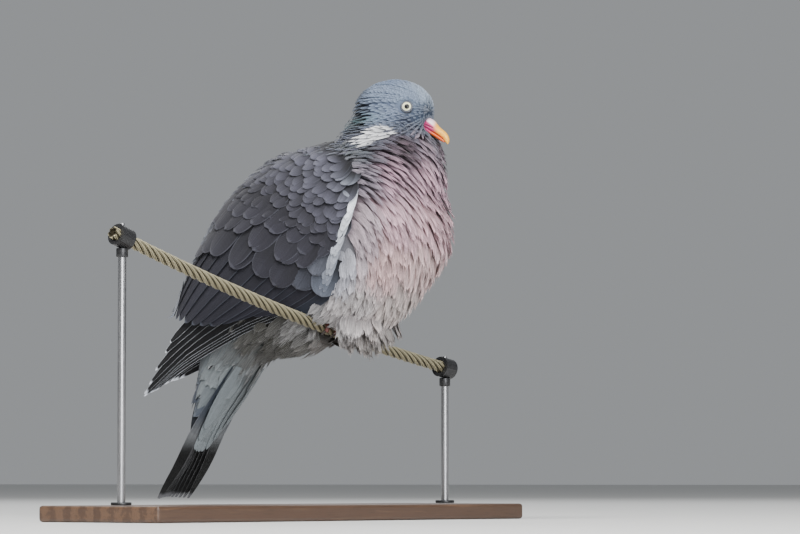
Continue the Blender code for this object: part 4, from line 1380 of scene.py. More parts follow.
    def dress(self, coat: Growth, rng: np.random.Generator) -> list[Thing]:
        """Shape the feathers region by region.

        Args:
            coat: the feathers.
            rng: random numbers.

        Returns:
            The objects of all regions.
        """
        line, outward, root, long, upper = (getattr(coat, f.name) for f in fields(coat))
        stops = np.array(self.stops)
        traits = MARKINGS.read(root, upper)
        n = len(root)
        side = unit(np.cross(outward, np.gradient(line, axis=1)))
        sway = (rng.normal(0, 0.055, n) * long)[:, None] * stops
        line = line + side * sway[..., None]
        lap = smooth(self.lap, -self.lap, root[:, 2] - LIE.crease(root[:, 0]))
        shift = upper * lap - (1 - upper) * 1.6 * (1 - lap)
        drop = -(traits["depth"] + 0.5)[:, None] * (1 - stops) ** 1.35 + shift[:, None]
        rise = drop + (traits["lift"] * rng.uniform(0.5, 1.35, n))[:, None] * stops**2.4
        half = outline(stops, traits["point"]) * (traits["width"] * rng.uniform(0.88, 1.12, n))[:, None] / 2
        above = upper > 0.5
        head = above & (off_skull(root) < 31)
        neck = above & ~head
        forward, _ = Tail().along(root)
        tail = ~above & (forward > 12)
        ruff = ~above & (root[:, 2] > 112) & (root[:, 0] > 34)
        front = ~above & ~ruff & (root[:, 0] > 48) & (root[:, 2] > 40)
        belly = ~above & ~ruff & ~front & ~tail & ((root[:, 0] > 10) | (root[:, 2] < 30))
        back = ~(above | ruff | front | belly | tail)
        regions = {
            "coat_head": (head, 3, 0, "head_plumage", "grey_plumage"),
            "coat_neck": (neck, 5, 0, "neck_plumage", "grey_plumage"),
            "coat_ruff": (ruff, 5, 4, "breast_plumage", "breast_plumage"),
            "coat_breast": (front, 5, 7, "breast_plumage", "breast_plumage"),
            "coat_belly": (belly, 5, 7, "down_plumage", "pale_plumage"),
            "coat_back": (back, 5, 3, "mantle_plumage", "wing_plumage"),
            "coat_tail": (tail, 7, 0, "undertail_plumage", "pale_plumage"),
        }
        made = []
        for name, (chosen, columns, barbs, finish, slot) in regions.items():
            vanes = Vanes(
                line[chosen],
                outward[chosen],
                rise[chosen],
                half[chosen],
                traits["root"][chosen],
                traits["tip"][chosen],
                stops,
                columns=columns,
                camber=0.42 * traits["point"][chosen] + 0.12,
                tilt=rng.normal(0, 0.06, chosen.sum()),
                fray=0.09 * long[chosen],
                tint_power=1.7,
                # painted shade along the vanes' edges
                edge_painted_shade=traits["dark"][chosen],
            )
            patch = unwrap(root[chosen])
            if barbs:
                loose = self.barbs(vanes, barbs, rng)
                thing = loose.build(name + "_barbs", np.repeat(patch, barbs, axis=0), 3)
                made.append(finish_piece(thing, finish))
                vanes.half = vanes.half * np.array([1, 1, 1, 0.9, 0.65, 0.5])
            thing = vanes.build(name, patch, seed=len(made) + 3)
            made.append(finish_piece(thing, finish))
        return made

    @staticmethod
    def barbs(vanes: Vanes, count: int, rng: np.random.Generator) -> Vanes:
        """Loose narrow barbs that fan out of each feather's end.

        Args:
            vanes: the feathers.
            count: how many barbs each has.
            rng: random numbers.

        Returns:
            The barbs.
        """
        n, k = vanes.line.shape[:2]
        fan = (np.arange(count) + 0.5) / count * 2 - 1 + rng.normal(0, 0.5 / count, (n, count))
        reach = rng.uniform(0.86, 1.2, (n, count)) - 0.2 * fan**2
        stops = np.array([0.36, 0.62, 0.85, 1.0])
        u = stops * reach[..., None]
        i = np.clip(np.searchsorted(vanes.stops, u) - 1, 0, k - 2)
        f = (u - vanes.stops[i]) / (vanes.stops[i + 1] - vanes.stops[i])
        feather = np.arange(n)[:, None, None]

        def along(rows: Array) -> Array:
            """Read the feathers' rows at the barbs' places."""
            share = f[..., None] if rows.ndim == 3 else f
            return rows[feather, i] * (1 - share) + rows[feather, i + 1] * share

        side = unit(np.cross(vanes.outward, np.gradient(vanes.line, axis=1)))
        widest = vanes.half.max(axis=1)[:, None, None]
        across = fan[..., None] * widest * (0.45 + 0.5 * stops)
        line = along(vanes.line) + along(side) * across[..., None]
        rise = along(vanes.rise) - vanes.camber.reshape(-1, 1, 1) * across**2 / widest
        rise = rise + rng.uniform(0.1, 0.9, (n, count, 1)) * stops
        half = np.array([0.55, 0.55, 0.4, 0.1]) * (widest / 4.0) ** 0.5
        half = half * rng.uniform(0.7, 1.2, (n, count, 1))
        bright = rng.uniform(0.82, 1.14, (n, count, 1))
        root, tip = vanes.root_tint[:, None], vanes.tip_tint[:, None]
        started = stops[0] ** vanes.tint_power * (tip - root) + root
        size = (n * count, 4)
        return Vanes(
            line.reshape(*size, 3),
            unit(along(vanes.outward)).reshape(*size, 3),
            rise.reshape(size),
            half.reshape(size),
            np.broadcast_to(started * bright, (n, count, 3)).reshape(-1, 3),
            np.broadcast_to(tip * bright, (n, count, 3)).reshape(-1, 3),
            (stops - stops[0]) / (1 - stops[0]),
            columns=3,
            camber=0.5,
            edge_painted_shade=0.3,
        )

    def build(self) -> list[Thing]:
        """Make the skin and its plumage."""
        form = self.form(self.flesh + self.wings)
        self.surface = Surface(form)
        Bench.drop(form)
        skin = self.skin()
        finish_piece(skin, "skin_down_and_shade", ("trunk", "neck", "head"))
        return [skin, *self.plumage()]


# ---- wings


@dataclass(frozen=True)
class Tract:
    """One row, or several, of a wing's feathers, on one sheet of its outline.

    tip turns into low at the wing's lower edge, into last towards the last row.
    """

    name: str
    sheet: Sheet
    count: int
    start: float
    end: float
    across: tuple[float, float] = (0.0, 1.0)
    rows: int = 1
    row_step: float = 0.0
    overlap: float = 1.6
    point: float = 0.0
    lift: float = 1.3
    depth: float = 1.8
    under: tuple[float, float] = (0.0, 0.0)
    tilt: float = 0.05
    skew: float = 0.0
    loose: float = 1.0
    deepen: float = 1.6
    # root, darker than tip, is partly the feather's dark base and partly painted shade under the feather
    # above.
    root: Triple = (0.006, 0.006, 0.008)
    tip: Triple = (0.026, 0.0255, 0.036)
    low: Triple | None = None
    low_end: float = 0.2
    last: Triple | None = None
    turn: float = 1.2
    rim: float = 0.0
    finish: str = "covert_plumage"
    stations: int = 12


@dataclass
class Wing:
    """One folded wing: small, middle and great coverts, flight feathers and the hand.

    short is how much sooner its longest feathers end.
    """

    side: Side
    short: float
    roots: ClassVar[dict] = {
        Sheet.COVERT: {0: (60, -8), 0.3: (67, 10), 0.6: (66, 32), 1: (56, 64)},
        Sheet.SECOND: {0: (-6, -34), 0.25: (-6, -20), 0.45: (-12, -5), 0.65: (-24, 18), 1: (-58, 70)},
        Sheet.FIRST: {0: (-34, -35), 0.25: (-48, -16), 0.5: (-68, -5), 0.75: (-90, 6), 1: (-108, 24)},
    }
    tips: ClassVar[dict] = {
        Sheet.COVERT: {
            0: (-16, -34), 0.15: (-22, -21), 0.3: (-32, -10), 0.6: (-48, 20), 0.8: (-60, 42), 1: (-74, 66)
        },
        Sheet.SECOND: {
            0: (-47, -33), 0.2: (-62, -20), 0.35: (-82, -10), 0.5: (-102, 0),
            0.7: (-116, 28), 0.85: (-121, 55), 1: (-117, 78),
        },
        Sheet.FIRST: {
            0: (-178, 2), 0.14: (-190, 13), 0.3: (-182, 15), 0.5: (-168, 18),
            0.7: (-153, 20), 0.85: (-140, 22), 1: (-128, 25),
        },
    }
    tracts: tuple[Tract, ...] = (
        Tract("primaries", Sheet.FIRST, 9, 0.0, 1.0, point=0.35, lift=0.0, depth=0.3, under=(5.6, 1.8),
              tilt=0.07, overlap=1.7, loose=0.0, root=(0.012, 0.012, 0.014), tip=(0.006, 0.006, 0.007),
              deepen=0.8, finish="flight_plumage", stations=14, skew=0.12),
        Tract("secondaries", Sheet.SECOND, 13, -0.35, 1.0, lift=0.3, depth=0.3, under=(3.6, 1.2),
              tilt=0.06, loose=0.0, root=(0.010, 0.010, 0.013), tip=(0.020, 0.020, 0.030), deepen=0.8,
              low=(0.04, 0.048, 0.07), finish="quill_plumage"),
        Tract("great_coverts", Sheet.COVERT, 9, 0.60, 1.0, low=(0.13, 0.148, 0.19), low_end=0.26),
        Tract("middle_coverts", Sheet.COVERT, 10, 0.34, 0.80, (0.03, 1.0), rows=2, row_step=-0.13, lift=1.4,
              overlap=1.7, deepen=2.0, tip=(0.028, 0.027, 0.038), low=(0.22, 0.245, 0.30)),
        Tract("small_coverts", Sheet.COVERT, 15, -0.096, 0.085, (0.03, 1.0), rows=7, row_step=0.078,
              lift=1.6, loose=1.3, deepen=2.4, point=0.12, tip=(0.110, 0.110, 0.148),
              last=(0.026, 0.025, 0.034), low=(0.36, 0.40, 0.47), low_end=0.10, rim=0.5),
        Tract("edge_coverts", Sheet.COVERT, 2, -0.06, 0.16, (0.0, 0.045), rows=14, row_step=0.058, lift=1.7,
              depth=0.4, overlap=1.9, loose=0.1, root=(0.45, 0.48, 0.54), tip=(0.80, 0.83, 0.89),
              deepen=0.8, last=(0.12, 0.14, 0.185), turn=0.7, finish="down_plumage"),
    )

    def __post_init__(self) -> None:
        """Join the outlines into smooth tables."""
        self.sheets = {
            sheet: (
                Table(self.roots[sheet]),
                Table(self.tips[sheet]),
                FORM.primary_face if sheet is Sheet.FIRST else FORM.wing_face,
            )
            for sheet in Sheet
        }

    def spread(self, sheet: Sheet, u: Array, v: Array, inward: Array) -> Array:
        """Points of one sheet of the wing.

        Args:
            sheet: which sheet.
            u: places along the feathers.
            v: places across them, from the wing's lower edge.
            inward: depth under the wing's face.

        Returns:
            The points.
        """
        roots, tips, face = self.sheets[sheet]
        v = np.clip(v, 0, 1)
        root, tip = roots.at(v), tips.at(v)
        end = tip[..., 0] + np.where(tip[..., 0] < -125, self.short, 0.0)
        station = root[..., 0] + (end - root[..., 0]) * u
        degrees = root[..., 1] + (tip[..., 1] - root[..., 1]) * u
        return FORM.face(face, station, degrees, inward, self.side.value)

    def breadth(self, sheet: Sheet, v: Array) -> Array:
        """How far these places across a sheet lie from the first, at the feathers' broad part."""
        return run_along(self.spread(sheet, np.full(len(v), 0.6), v, np.zeros(len(v))))

    def even(self, tract: Tract, share: Array) -> Array:
        """Places across a sheet for shares from 0 to 1, so that its feathers are equally broad."""
        v = np.linspace(0, 1, 60)
        run = self.breadth(tract.sheet, v)
        return np.interp(share, run / run[-1], v)

    def tract(self, tract: Tract, seed: int) -> Thing:
        """Make one tract of feathers.

        Args:
            tract: its sizes.
            seed: start of the random numbers.

        Returns:
            The finished object.
        """
        rng = np.random.default_rng(seed)
        low, high = tract.across
        row, order = np.divmod(np.arange(tract.rows * tract.count, dtype=float), tract.count)
        share = (order + 0.5 + 0.5 * (row % 2)) / (tract.count + 0.5)
        n = len(row)
        v = low + (high - low) * share
        v = v + rng.normal(0, (0.1 + 0.14 * tract.loose) / tract.count, n) * (high - low)
        v = self.even(tract, np.clip(v, 0.005, 0.995))
        begin = tract.start + row * tract.row_step + rng.normal(0, 0.006 + 0.008 * tract.loose, n)
        finish = tract.end + row * tract.row_step + rng.normal(0, 0.006 + 0.010 * tract.loose, n)
        t = 1 - (1 - np.linspace(0, 1, tract.stations)) ** 1.6
        u = begin[:, None] + (finish - begin)[:, None] * t
        wide = np.broadcast_to(v[:, None], u.shape)
        under = tract.under[0] + (tract.under[1] - tract.under[0]) * wide
        line = self.spread(tract.sheet, u, wide, under)
        outward = unit(self.spread(tract.sheet, u, wide, under - 1.0) - line)
        broad = self.breadth(tract.sheet, np.linspace(low, high, 60))[-1] / tract.count
        half = outline(t, np.full(n, tract.point), 0.5) * broad * tract.overlap / 2
        half = half * rng.uniform(1 - 0.12 * tract.loose, 1 + 0.12 * tract.loose, (n, 1))
        rise = -tract.depth * (1 - t) ** 1.4 + tract.lift * t**2 * rng.uniform(0.6, 1.3, (n, 1))
        root, tip = (np.broadcast_to(colour, (n, 3)) for colour in (tract.root, tract.tip))
        if tract.low:
            front = tract.rim * smooth(0.48, 0.18, v) * smooth(1.6, -0.4, row)
            tip = blend(tip, tract.low, np.maximum(smooth(tract.low_end, 0.0, v), front))
        if tract.last:
            share = (row / (tract.rows - 1)) ** tract.turn
            tip = blend(tip, tract.last, share)
            root = blend(root, 0.5 * np.array(tract.last), share)
        mirror = -self.side.value
        vanes = Vanes(
            line,
            outward,
            rise,
            half,
            root,
            tip * rng.uniform(0.9, 1.12, (n, 1)),
            t,
            columns=7,
            camber=0.05 + 0.1 * tract.loose,
            tilt=tract.tilt * mirror + rng.normal(0, 0.02 + 0.05 * tract.loose, n),
            fray=0.12 + 0.2 * tract.loose,
            skew=tract.skew * mirror,
            tint_power=tract.deepen,
            edge_painted_shade=0.2 * tract.loose,
        )
        return vanes.build(f"wing_{self.side.label}_{tract.name}_vanes", unwrap(line[:, 0]), seed)

    def build(self) -> list[Thing]:
        """Make all tracts; they stand for the wing's three solids."""
        stands = {"primaries": "primaries", "secondaries": "secondaries", "great_coverts": "coverts"}
        made = []
        for k, tract in enumerate(self.tracts):
            thing = self.tract(tract, 20 + k)
            replaced = (f"wing_{self.side.label}_{stands[tract.name]}",) if tract.name in stands else ()
            made.append(finish_piece(thing, tract.finish, replaced))
        return made


# ---- tail


@dataclass
class Tail:
    """Twelve tail feathers and the coverts below them.

    covert_rows holds each row's start, end, number of feathers, half spread at the tips and depth.
    """

    root: tuple[float, float] = (-62.0, 4.0)
    pitch: float = math.radians(56.0)
    start: float = 14.0
    length: float = 150.0
    half_width: tuple[float, float] = (17.0, 31.0)
    spread_power: float = 0.6
    arch: float = 6.0
    feathers: int = 12
    band: tuple[float, float] = (98.0, 104.0)
    covert_rows: ClassVar = ((44, 106, 5, 9.5, 1.5), (34, 97, 6, 12, 2.0), (26, 86, 7, 14, 2.5))
    widen: float = 0.5
    covert_tint: Triple = (0.20, 0.232, 0.25)

    def point(self, forward: Array, under: Array, sideways: Array) -> Array:
        """Points along the tail from its root, below its sheet and to the left."""
        c, s = math.cos(self.pitch), math.sin(self.pitch)
        x, z = self.root[0] - forward * c + under * s, self.root[1] - forward * s - under * c
        return np.stack([x, sideways, z], axis=-1)

    def along(self, points: Array) -> tuple[Array, Array]:
        """How far along the tail and below its sheet the points lie."""
        c, s = math.cos(self.pitch), math.sin(self.pitch)
        dx, dz = points[:, 0] - self.root[0], points[:, 2] - self.root[1]
        return -dx * c - dz * s, dx * s - dz * c

    def sheet(self, forward: Array, across: Array, under: Array) -> Array:
        """Points of the arched sheet of the tail.

        Args:
            forward: distance along it.
            across: from -1 on the right edge to 1 on the left.
            under: depth below its upper face.

        Returns:
            The points.
        """
        u = np.clip((forward - self.start) / (self.length - self.start), 0, 1.1)
        half = self.half_width[0] + (self.half_width[1] - self.half_width[0]) * u**self.spread_power
        droop = self.arch * across * across * (0.6 + 0.4 * u)
        droop = droop - 3.5 * smooth(0, 28, forward) * smooth(125, 80, forward)
        return self.point(forward, droop + under, half * across)

    def rectrices(self) -> Thing:
        """The twelve long feathers, the middle pair on top."""
        n = self.feathers
        t = np.array([0.0, 0.15, 0.3, 0.45, 0.58, 0.66, 0.70, 0.74, 0.8, 0.87, 0.93, 0.97, 1.0])
        order = np.arange(n)
        across = -0.86 + 1.72 * (order + 0.5) / n
        end = self.length - 3.0 * across**2
        forward = self.start + (end - self.start)[:, None] * t
        wide = np.broadcast_to(across[:, None], forward.shape)
        stack = 0.35 + 0.55 * np.abs(order - (n - 1) / 2)[:, None] * np.ones_like(forward) * 0.45
        line = self.sheet(forward, wide, stack)
        outward = unit(self.sheet(forward, wide, stack - 1) - line)
        half = outline(t, np.zeros(n), 0.45) * 8.6
        half[:, -1] = half[:, -2] * 0.6
        level, tint, tilt = 0 * forward, np.zeros((n, 3)), np.sign(across) * -0.05
        vanes = Vanes(line, outward, level, half, tint, tint, t, columns=9, camber=0.03, tilt=tilt, fray=0.2)
        thing = vanes.build("tail_rectrices_vanes", unwrap(line[:, 4]), 41)
        self.tint(thing)
        return finish_piece(thing, "tail_plumage", ("tail_feathers",))

    def tint(self, thing: Thing) -> None:
        """Colour the tail's feathers: grey base, pale middle below, black end."""
        forward, under = self.along(bird_points(thing))
        pale = smooth(70, 84, forward) * smooth(0.5, 1.6, under)
        base = blend([0.060, 0.072, 0.095], [0.17, 0.18, 0.19], pale)
        add_tint(thing.data, blend(base, [0.0008, 0.0008, 0.001], smooth(*self.band, forward)))

    def coverts(self) -> Thing:
        """The rows of coverts under the tail."""
        rng = np.random.default_rng(5)
        t = np.array([0.0, 0.25, 0.5, 0.7, 0.85, 0.93, 0.975, 1.0])
        lines, outs, halves = [], [], []
        for begin, end, count, half_spread, under in self.covert_rows:
            share = np.linspace(-1, 1, count)
            forward = begin + (end - 2.5 * share**2 - begin)[:, None] * t
            side = share[:, None] * half_spread * (1 + self.widen * smooth(100, 30, forward))
            bulge = under * np.sqrt(np.clip(1 - 0.75 * share**2, 0, 1))[:, None]
            bulge = bulge * (1 - 0.75 * np.clip((forward - 20) / 85, 0, 1) ** 0.8)
            droop = self.arch * (side / 30) ** 2 + 3.0 + bulge
            line = self.point(forward, droop, side)
            lines.append(line)
            outs.append(unit(self.point(forward, droop + 1, side * (1 + 0.035 * under / 6)) - line))
            broad = half_spread / (count - 1) * (2.3 + self.widen)
            halves.append(outline(t, np.zeros(count), 0.6) * broad)
        line, outward, half = (np.concatenate(rows) for rows in (lines, outs, halves))
        tint = np.array(self.covert_tint) * rng.uniform(0.93, 1.07, (len(line), 1))
        rise = np.broadcast_to(-1.2 * (1 - t) ** 1.5 + 0.3 * t**2, half.shape)
        vanes = Vanes(line, outward, rise, half, tint * 0.8, tint, t, columns=7, camber=0.05, fray=0.3)
        thing = vanes.build("undertail_vanes", unwrap(line[:, 3]), 43)
        return finish_piece(thing, "undertail_plumage", ("undertail_coverts",))

    def build(self) -> list[Thing]:
        """Make the tail."""
        return [self.rectrices(), self.coverts()]


# ---- eyes and bill


@dataclass
class Eye:
    """One eye: a glossy ball with its iris and pupil, in a ring of bare lid."""

    side: Side
    ball: float = 4.35
    sink: float = 0.55
    iris: float = 3.55
    pupil: float = 1.9
    lid: float = 3.75
    facing: Triple = (0.30, 1.0, 0.12)

    def __post_init__(self) -> None:
        """Its name, the way it looks and the ball's middle."""
        self.name = f"eye_{self.side.label}"
        self.axis = mirrored(unit(np.array(self.facing)), self.side.value)
        self.middle = mirrored(EYE, self.side.value) - self.axis * self.sink

    def make_ball(self) -> Thing:
        """The ball, turned to look outwards."""
        Bench.clear()
        bpy.ops.mesh.primitive_uv_sphere_add(segments=48, ring_count=32, radius=self.ball * MM)
        thing = bpy.context.active_object
        thing.name = thing.data.name = f"{self.name}_ball"
        bpy.ops.object.shade_smooth()
        Bench.aim(thing, self.axis, in_frame(self.middle))
        Bench.settle(thing)
        self.colour(thing)
        return thing

    def colour(self, thing: Thing) -> None:
        """Colour the ball round its axis.

        Args:
            thing: the ball.
        """
        Bench.modify(thing, "SUBSURF", levels=2, render_levels=2, subdivision_type="SIMPLE")
        points = bird_points(thing) - self.middle
        points = points / np.linalg.norm(points, axis=1, keepdims=True) * self.ball
        place_points(thing.data, in_frame(points + self.middle))
        ahead = mirrored(unit(np.array([1.0, -0.30, -0.15])), self.side.value)
        out = points - dot(points, self.axis) * self.axis
        far = np.linalg.norm(out, axis=1)
        front = (points @ self.axis) > 0
        shift = np.linalg.norm(out - ahead * 0.25, axis=1)
        lean = 1 + 0.10 * np.clip((out @ ahead) / 2, -1, 1)
        pupil = smooth(self.pupil + 0.12, self.pupil - 0.12, shift / lean) * front
        rim = smooth(self.iris - 0.35, self.iris + 0.1, far)
        inner = smooth(self.pupil + 0.9, self.pupil + 0.1, far)
        iris = np.array([0.90, 0.90, 0.60]) * (1 - 0.25 * inner[:, None])
        tint = blend(blend(iris, (0.05, 0.03, 0.02), rim), (0.002, 0.002, 0.003), pupil)
        add_tint(thing.data, np.where(front[:, None], tint, 0.02))

    def make_lids(self) -> Thing:
        """The bare ring round the eye, with a heavier upper lid."""
        things = []
        for k, (wider, thick, out) in enumerate(((0.0, 0.5, 0.0), (0.55, 0.42, -0.30), (0.1, 0.36, 0.30))):
            radius = self.lid + wider
            Bench.clear()
            bpy.ops.mesh.primitive_torus_add(
                major_segments=64, minor_segments=12, major_radius=radius * MM, minor_radius=thick * MM
            )
            thing = bpy.context.active_object
            thing.scale = (1.0, 0.97 if k < 2 else 0.92, 1.0)
            depth = math.sqrt(self.ball**2 - self.lid**2) + 0.15 + out
            at = self.middle + self.axis * depth + np.array([0, 0, 0.25 if k == 2 else 0])
            Bench.aim(thing, self.axis, in_frame(at))
            things.append(Bench.settle(thing))
        ring = Bench.join(things, f"{self.name}_lids")
        bpy.ops.object.shade_smooth()
        return ring

    def build(self) -> list[Thing]:
        """Make the eye."""
        ball = finish_piece(self.make_ball(), "eye", (self.name,))
        return [ball, finish_piece(self.make_lids(), "lid")]


@dataclass
class Bill:
    """Both halves of the bill, drawn out ring by ring, with the soft cere over the nostrils."""

    base: Triple = (75.0, 0.0, 164.5)
    pitch: float = -32.5
    upper: ClassVar = (
        (-4.0, 0.6, 4.9, 3.6), (0.0, 0.9, 4.9, 4.2), (4.0, 1.1, 4.8, 4.4), (8.0, 1.2, 4.6, 4.4),
        (11.0, 0.9, 4.1, 3.7), (14.0, 0.75, 3.5, 3.1), (17.0, 0.7, 3.1, 3.0), (20.0, 0.3, 2.75, 3.0),
        (23.0, -0.5, 2.2, 2.75), (25.2, -1.6, 1.6, 2.1), (26.6, -2.9, 0.8, 1.2),
    )
    lower: ClassVar = (
        (-4.0, -2.6, 4.3, 2.6), (0.0, -2.6, 4.2, 2.6), (5.0, -2.7, 3.8, 2.3), (10.0, -2.8, 3.2, 2.0),
        (15.0, -2.8, 2.7, 1.8), (19.0, -2.9, 2.3, 1.6), (22.0, -3.1, 1.6, 1.2), (23.6, -3.3, 0.7, 0.6),
    )

    def draw_out(self, name: str, rings: tuple) -> Thing:
        """Extrude one half from its base ring to its tip.

        Args:
            name: the object's name.
            rings: for each ring its place along, height, half width and half height.

        Returns:
            The closed half, along +X from the origin.
        """
        Bench.clear()
        turn = (0, math.pi / 2, 0)
        bpy.ops.mesh.primitive_circle_add(vertices=20, radius=1.0, fill_type="NGON", rotation=turn)
        thing = bpy.context.active_object
        bpy.ops.object.transform_apply(rotation=True)
        with Bench.editing():
            x, z, wide, high = rings[0]
            bpy.ops.transform.resize(value=(1, wide * MM, high * MM), center_override=(0, 0, 0))
            bpy.ops.transform.translate(value=(x * MM, 0, z * MM))
            for place in rings[1:]:
                move = ((place[0] - x) * MM, 0, (place[1] - z) * MM)
                bpy.ops.mesh.extrude_region_move(TRANSFORM_OT_translate={"value": move})
                middle = (place[0] * MM, 0, place[1] * MM)
                bpy.ops.transform.resize(value=(1, place[2] / wide, place[3] / high), center_override=middle)
                x, z, wide, high = place
            bpy.ops.mesh.select_all(action="SELECT")
            bpy.ops.mesh.normals_make_consistent(inside=False)
        thing.name = thing.data.name = name
        return thing

    def shape(self, thing: Thing, upper: bool) -> None:
        """Flatten the half along the mouth and soften it.

        Args:
            thing: the half.
            upper: whether it is the upper half.
        """
        points = points_of(thing.data) / MM
        mouth = -1.75 - 0.0035 * np.clip(points[:, 0] - 12, 0, 20) ** 2
        if upper:
            swell = np.exp(-(((points[:, 0] - 5.0) / 4.2) ** 2)) * smooth(0.5, 4.0, points[:, 2])
            points[:, 2] += 0.55 * swell
            below = points[:, 2] < mouth + 0.1
            tip = smooth(20.0, 25.0, points[:, 0])
            points[:, 2] = np.where(below, (mouth + 0.1) * (1 - tip) + points[:, 2] * tip, points[:, 2])
        else:
            points[:, 2] = np.where(points[:, 2] > mouth - 0.1, mouth - 0.1, points[:, 2])
        place_points(thing.data, points * MM)
        Bench.modify(thing, "SUBSURF", levels=3, render_levels=3)
        if upper:
            self.carve_nostrils(thing)
        bpy.ops.object.shade_smooth()

    def carve_nostrils(self, thing: Thing) -> None:
        """Press in the slit nostrils under the cere."""
        points = points_of(thing.data) / MM
        x, y, z = points.T
        slit = z - (0.55 + 0.16 * (x - 7.0))
        dent = np.exp(-((slit / 0.5) ** 2)) * smooth(3.0, 5.0, x) * smooth(11.5, 9.5, x)
        dent = dent * smooth(2.0, 3.0, np.abs(y))
        points[:, 1] -= np.sign(points[:, 1]) * 0.75 * dent
        place_points(thing.data, points * MM)

    def colour(self, thing: Thing, upper: bool) -> None:
        """Colour the half along its length: white cere, pink sides, cream hook, orange edge.

        Args:
            thing: the half, still along +X.
            upper: whether it is the upper half.
        """
        p = points_of(thing.data) / MM
        x, y, z = p[:, 0], np.abs(p[:, 1]), p[:, 2]
        white, orange = np.array([0.80, 0.62, 0.70]), (0.66, 0.10, 0.012)
        if upper:
            # Painted shade in the nostril slits.
            slit = np.exp(-(((z - 0.55 - 0.16 * (x - 7.0)) / 0.42) ** 2))
            slit = slit * smooth(3.2, 5.0, x) * smooth(11.3, 9.6, x) * smooth(1.2, 2.0, y) * 0.85
            edge = smooth(0.35, -1.1, z + 0.03 * (x - 14)) * smooth(10, 14, x) * smooth(24, 20, x)
            layers = (
                (white, smooth(2.4, 4.0, z + 0.10 * (x - 4)) * smooth(12.5, 8.5, x)),
                (white * 0.9, smooth(0.3, -0.8, z) * smooth(5, 0, x) * 0.5),
                ((0.84, 0.41, 0.04), smooth(11.5, 17.5, x + 0.9 * (z + 1))),
                (orange, edge),
                ((0.03, 0.01, 0.02), slit),
            )
        else:
            layers = ((white * 0.75, smooth(5.0, 0.5, x) * 0.6), (orange, smooth(7.5, 12.0, x)))
        tint = np.broadcast_to((0.50, 0.045, 0.17), p.shape)
        for colour, share in layers:
            tint = blend(tint, colour, share)
        add_tint(thing.data, tint)

    def build(self) -> list[Thing]:
        """Make both halves and put them in place."""
        made = []
        for name, rings, upper in (("bill_upper", self.upper, True), ("bill_lower", self.lower, False)):
            thing = self.draw_out(name + "_horn", rings)
            self.shape(thing, upper)
            self.colour(thing, upper)
            thing.rotation_euler = (0, math.radians(-self.pitch), 0)
            thing.location = in_frame(np.array(self.base))
            Bench.settle(thing)
            made.append(finish_piece(thing, "bill", (name,)))
        return made


# ---- perch and feet


@dataclass
class Perch:
    """The short length of stranded wire rope that the bird grips."""

    heading: ClassVar[float] = math.radians(75.0)
    forward: float = 5.0
    diameter: float = 9.4
    strands: int = 6
    wires: int = 7
    lay: float = 47.0
    wire_lay: float = 2.2
    start: float = -250.0
    end: float = 137.0
    step: float = 1.5
    rise: float = 4.8
    slope: float = -0.213
    sag: float = 0.0002

    def __post_init__(self) -> None:
        """The rope's two level directions."""
        self.along = np.array([math.cos(self.heading), math.sin(self.heading), 0.0])
        self.across = np.array([math.sin(self.heading), -math.cos(self.heading), 0.0])

    def line(self, s: Array) -> Array:
        """The rope's middle line."""
        s = np.asarray(s, float)[..., None]
        high = self.rise + self.slope * s + self.sag * s * s
        return self.along * s + self.across * self.forward + high * np.array([0, 0, 1.0])

    def upward(self, s: Array) -> Array:
        """The direction square above the rope."""
        tangent = unit(self.line(np.asarray(s, float) + 1) - self.line(np.asarray(s, float) - 1))
        return unit(np.cross(self.across, tangent))

    def ring(self, s: Array, radius: Array, angle: Array) -> Array:
        """Points round the rope, from its top towards the front."""
        radius, angle = np.asarray(radius)[..., None], np.asarray(angle)[..., None]
        return self.line(s) + radius * (self.across * np.sin(angle) + self.upward(s) * np.cos(angle))

    def build(self) -> list[Thing]:
        """Lay the wires of every strand round the rope's heart."""
        s = np.arange(self.start, self.end + 0.1, self.step)
        strand = self.diameter / 2 / (1 + math.sin(math.pi / self.strands))
        thick = self.diameter / 2 - strand
        wire = thick / 3
        curve = bpy.data.curves.new("rope", "CURVE")
        curve.dimensions = "3D"
        curve.bevel_depth = wire * MM
        curve.bevel_resolution = 1
        curve.use_fill_caps = True
        for k in range(self.strands):
            turn = 2 * math.pi * (s / self.lay + k / self.strands)
            middle = self.ring(s, np.full(len(s), strand), turn)
            outward = unit(middle - self.line(s))
            ahead = unit(np.gradient(middle, axis=0))
            side = np.cross(ahead, outward)
            for w in range(self.wires):
                spin = 2 * math.pi * (s / (self.lay * self.wire_lay) + w / (self.wires - 1))
                far = 0.0 if w == self.wires - 1 else 2 * wire
                path = middle + far * (outward * np.cos(spin)[:, None] + side * np.sin(spin)[:, None])
                self.add_wire(curve, path)
        self.add_wire(curve, self.line(s), (strand - thick) / wire * 1.05)
        Bench.take(Bench.add("rope_wires", curve))
        bpy.ops.object.convert(target="MESH")
        thing = bpy.context.active_object
        bpy.ops.object.shade_smooth()
        # The wires darken towards the rope's middle: painted shade in the crevices between and under the
        # strands.
        points = bird_points(thing)
        far = np.linalg.norm(points - self.line(points @ self.along), axis=1) / (self.diameter / 2)
        add_tint(thing.data, blend([0.030, 0.024, 0.012], [0.42, 0.38, 0.25], smooth(0.70, 1.0, far)))
        return [finish_piece(thing, "strand", ("perch_wire",))]

    @staticmethod
    def add_wire(curve: bpy.types.Curve, path: Array, thick: float = 1.0) -> None:
        """Add one wire along a path.

        Args:
            curve: the rope's curve.
            path: its points.
            thick: its radius as a share of the others'.
        """
        spline = curve.splines.new("POLY")
        spline.points.add(len(path) - 1)
        full = np.concatenate([in_frame(path), np.ones((len(path), 1))], axis=1)
        spline.points.foreach_set("co", full.astype(np.float32).ravel())
        spline.points.foreach_set("radius", np.full(len(path), thick, np.float32))


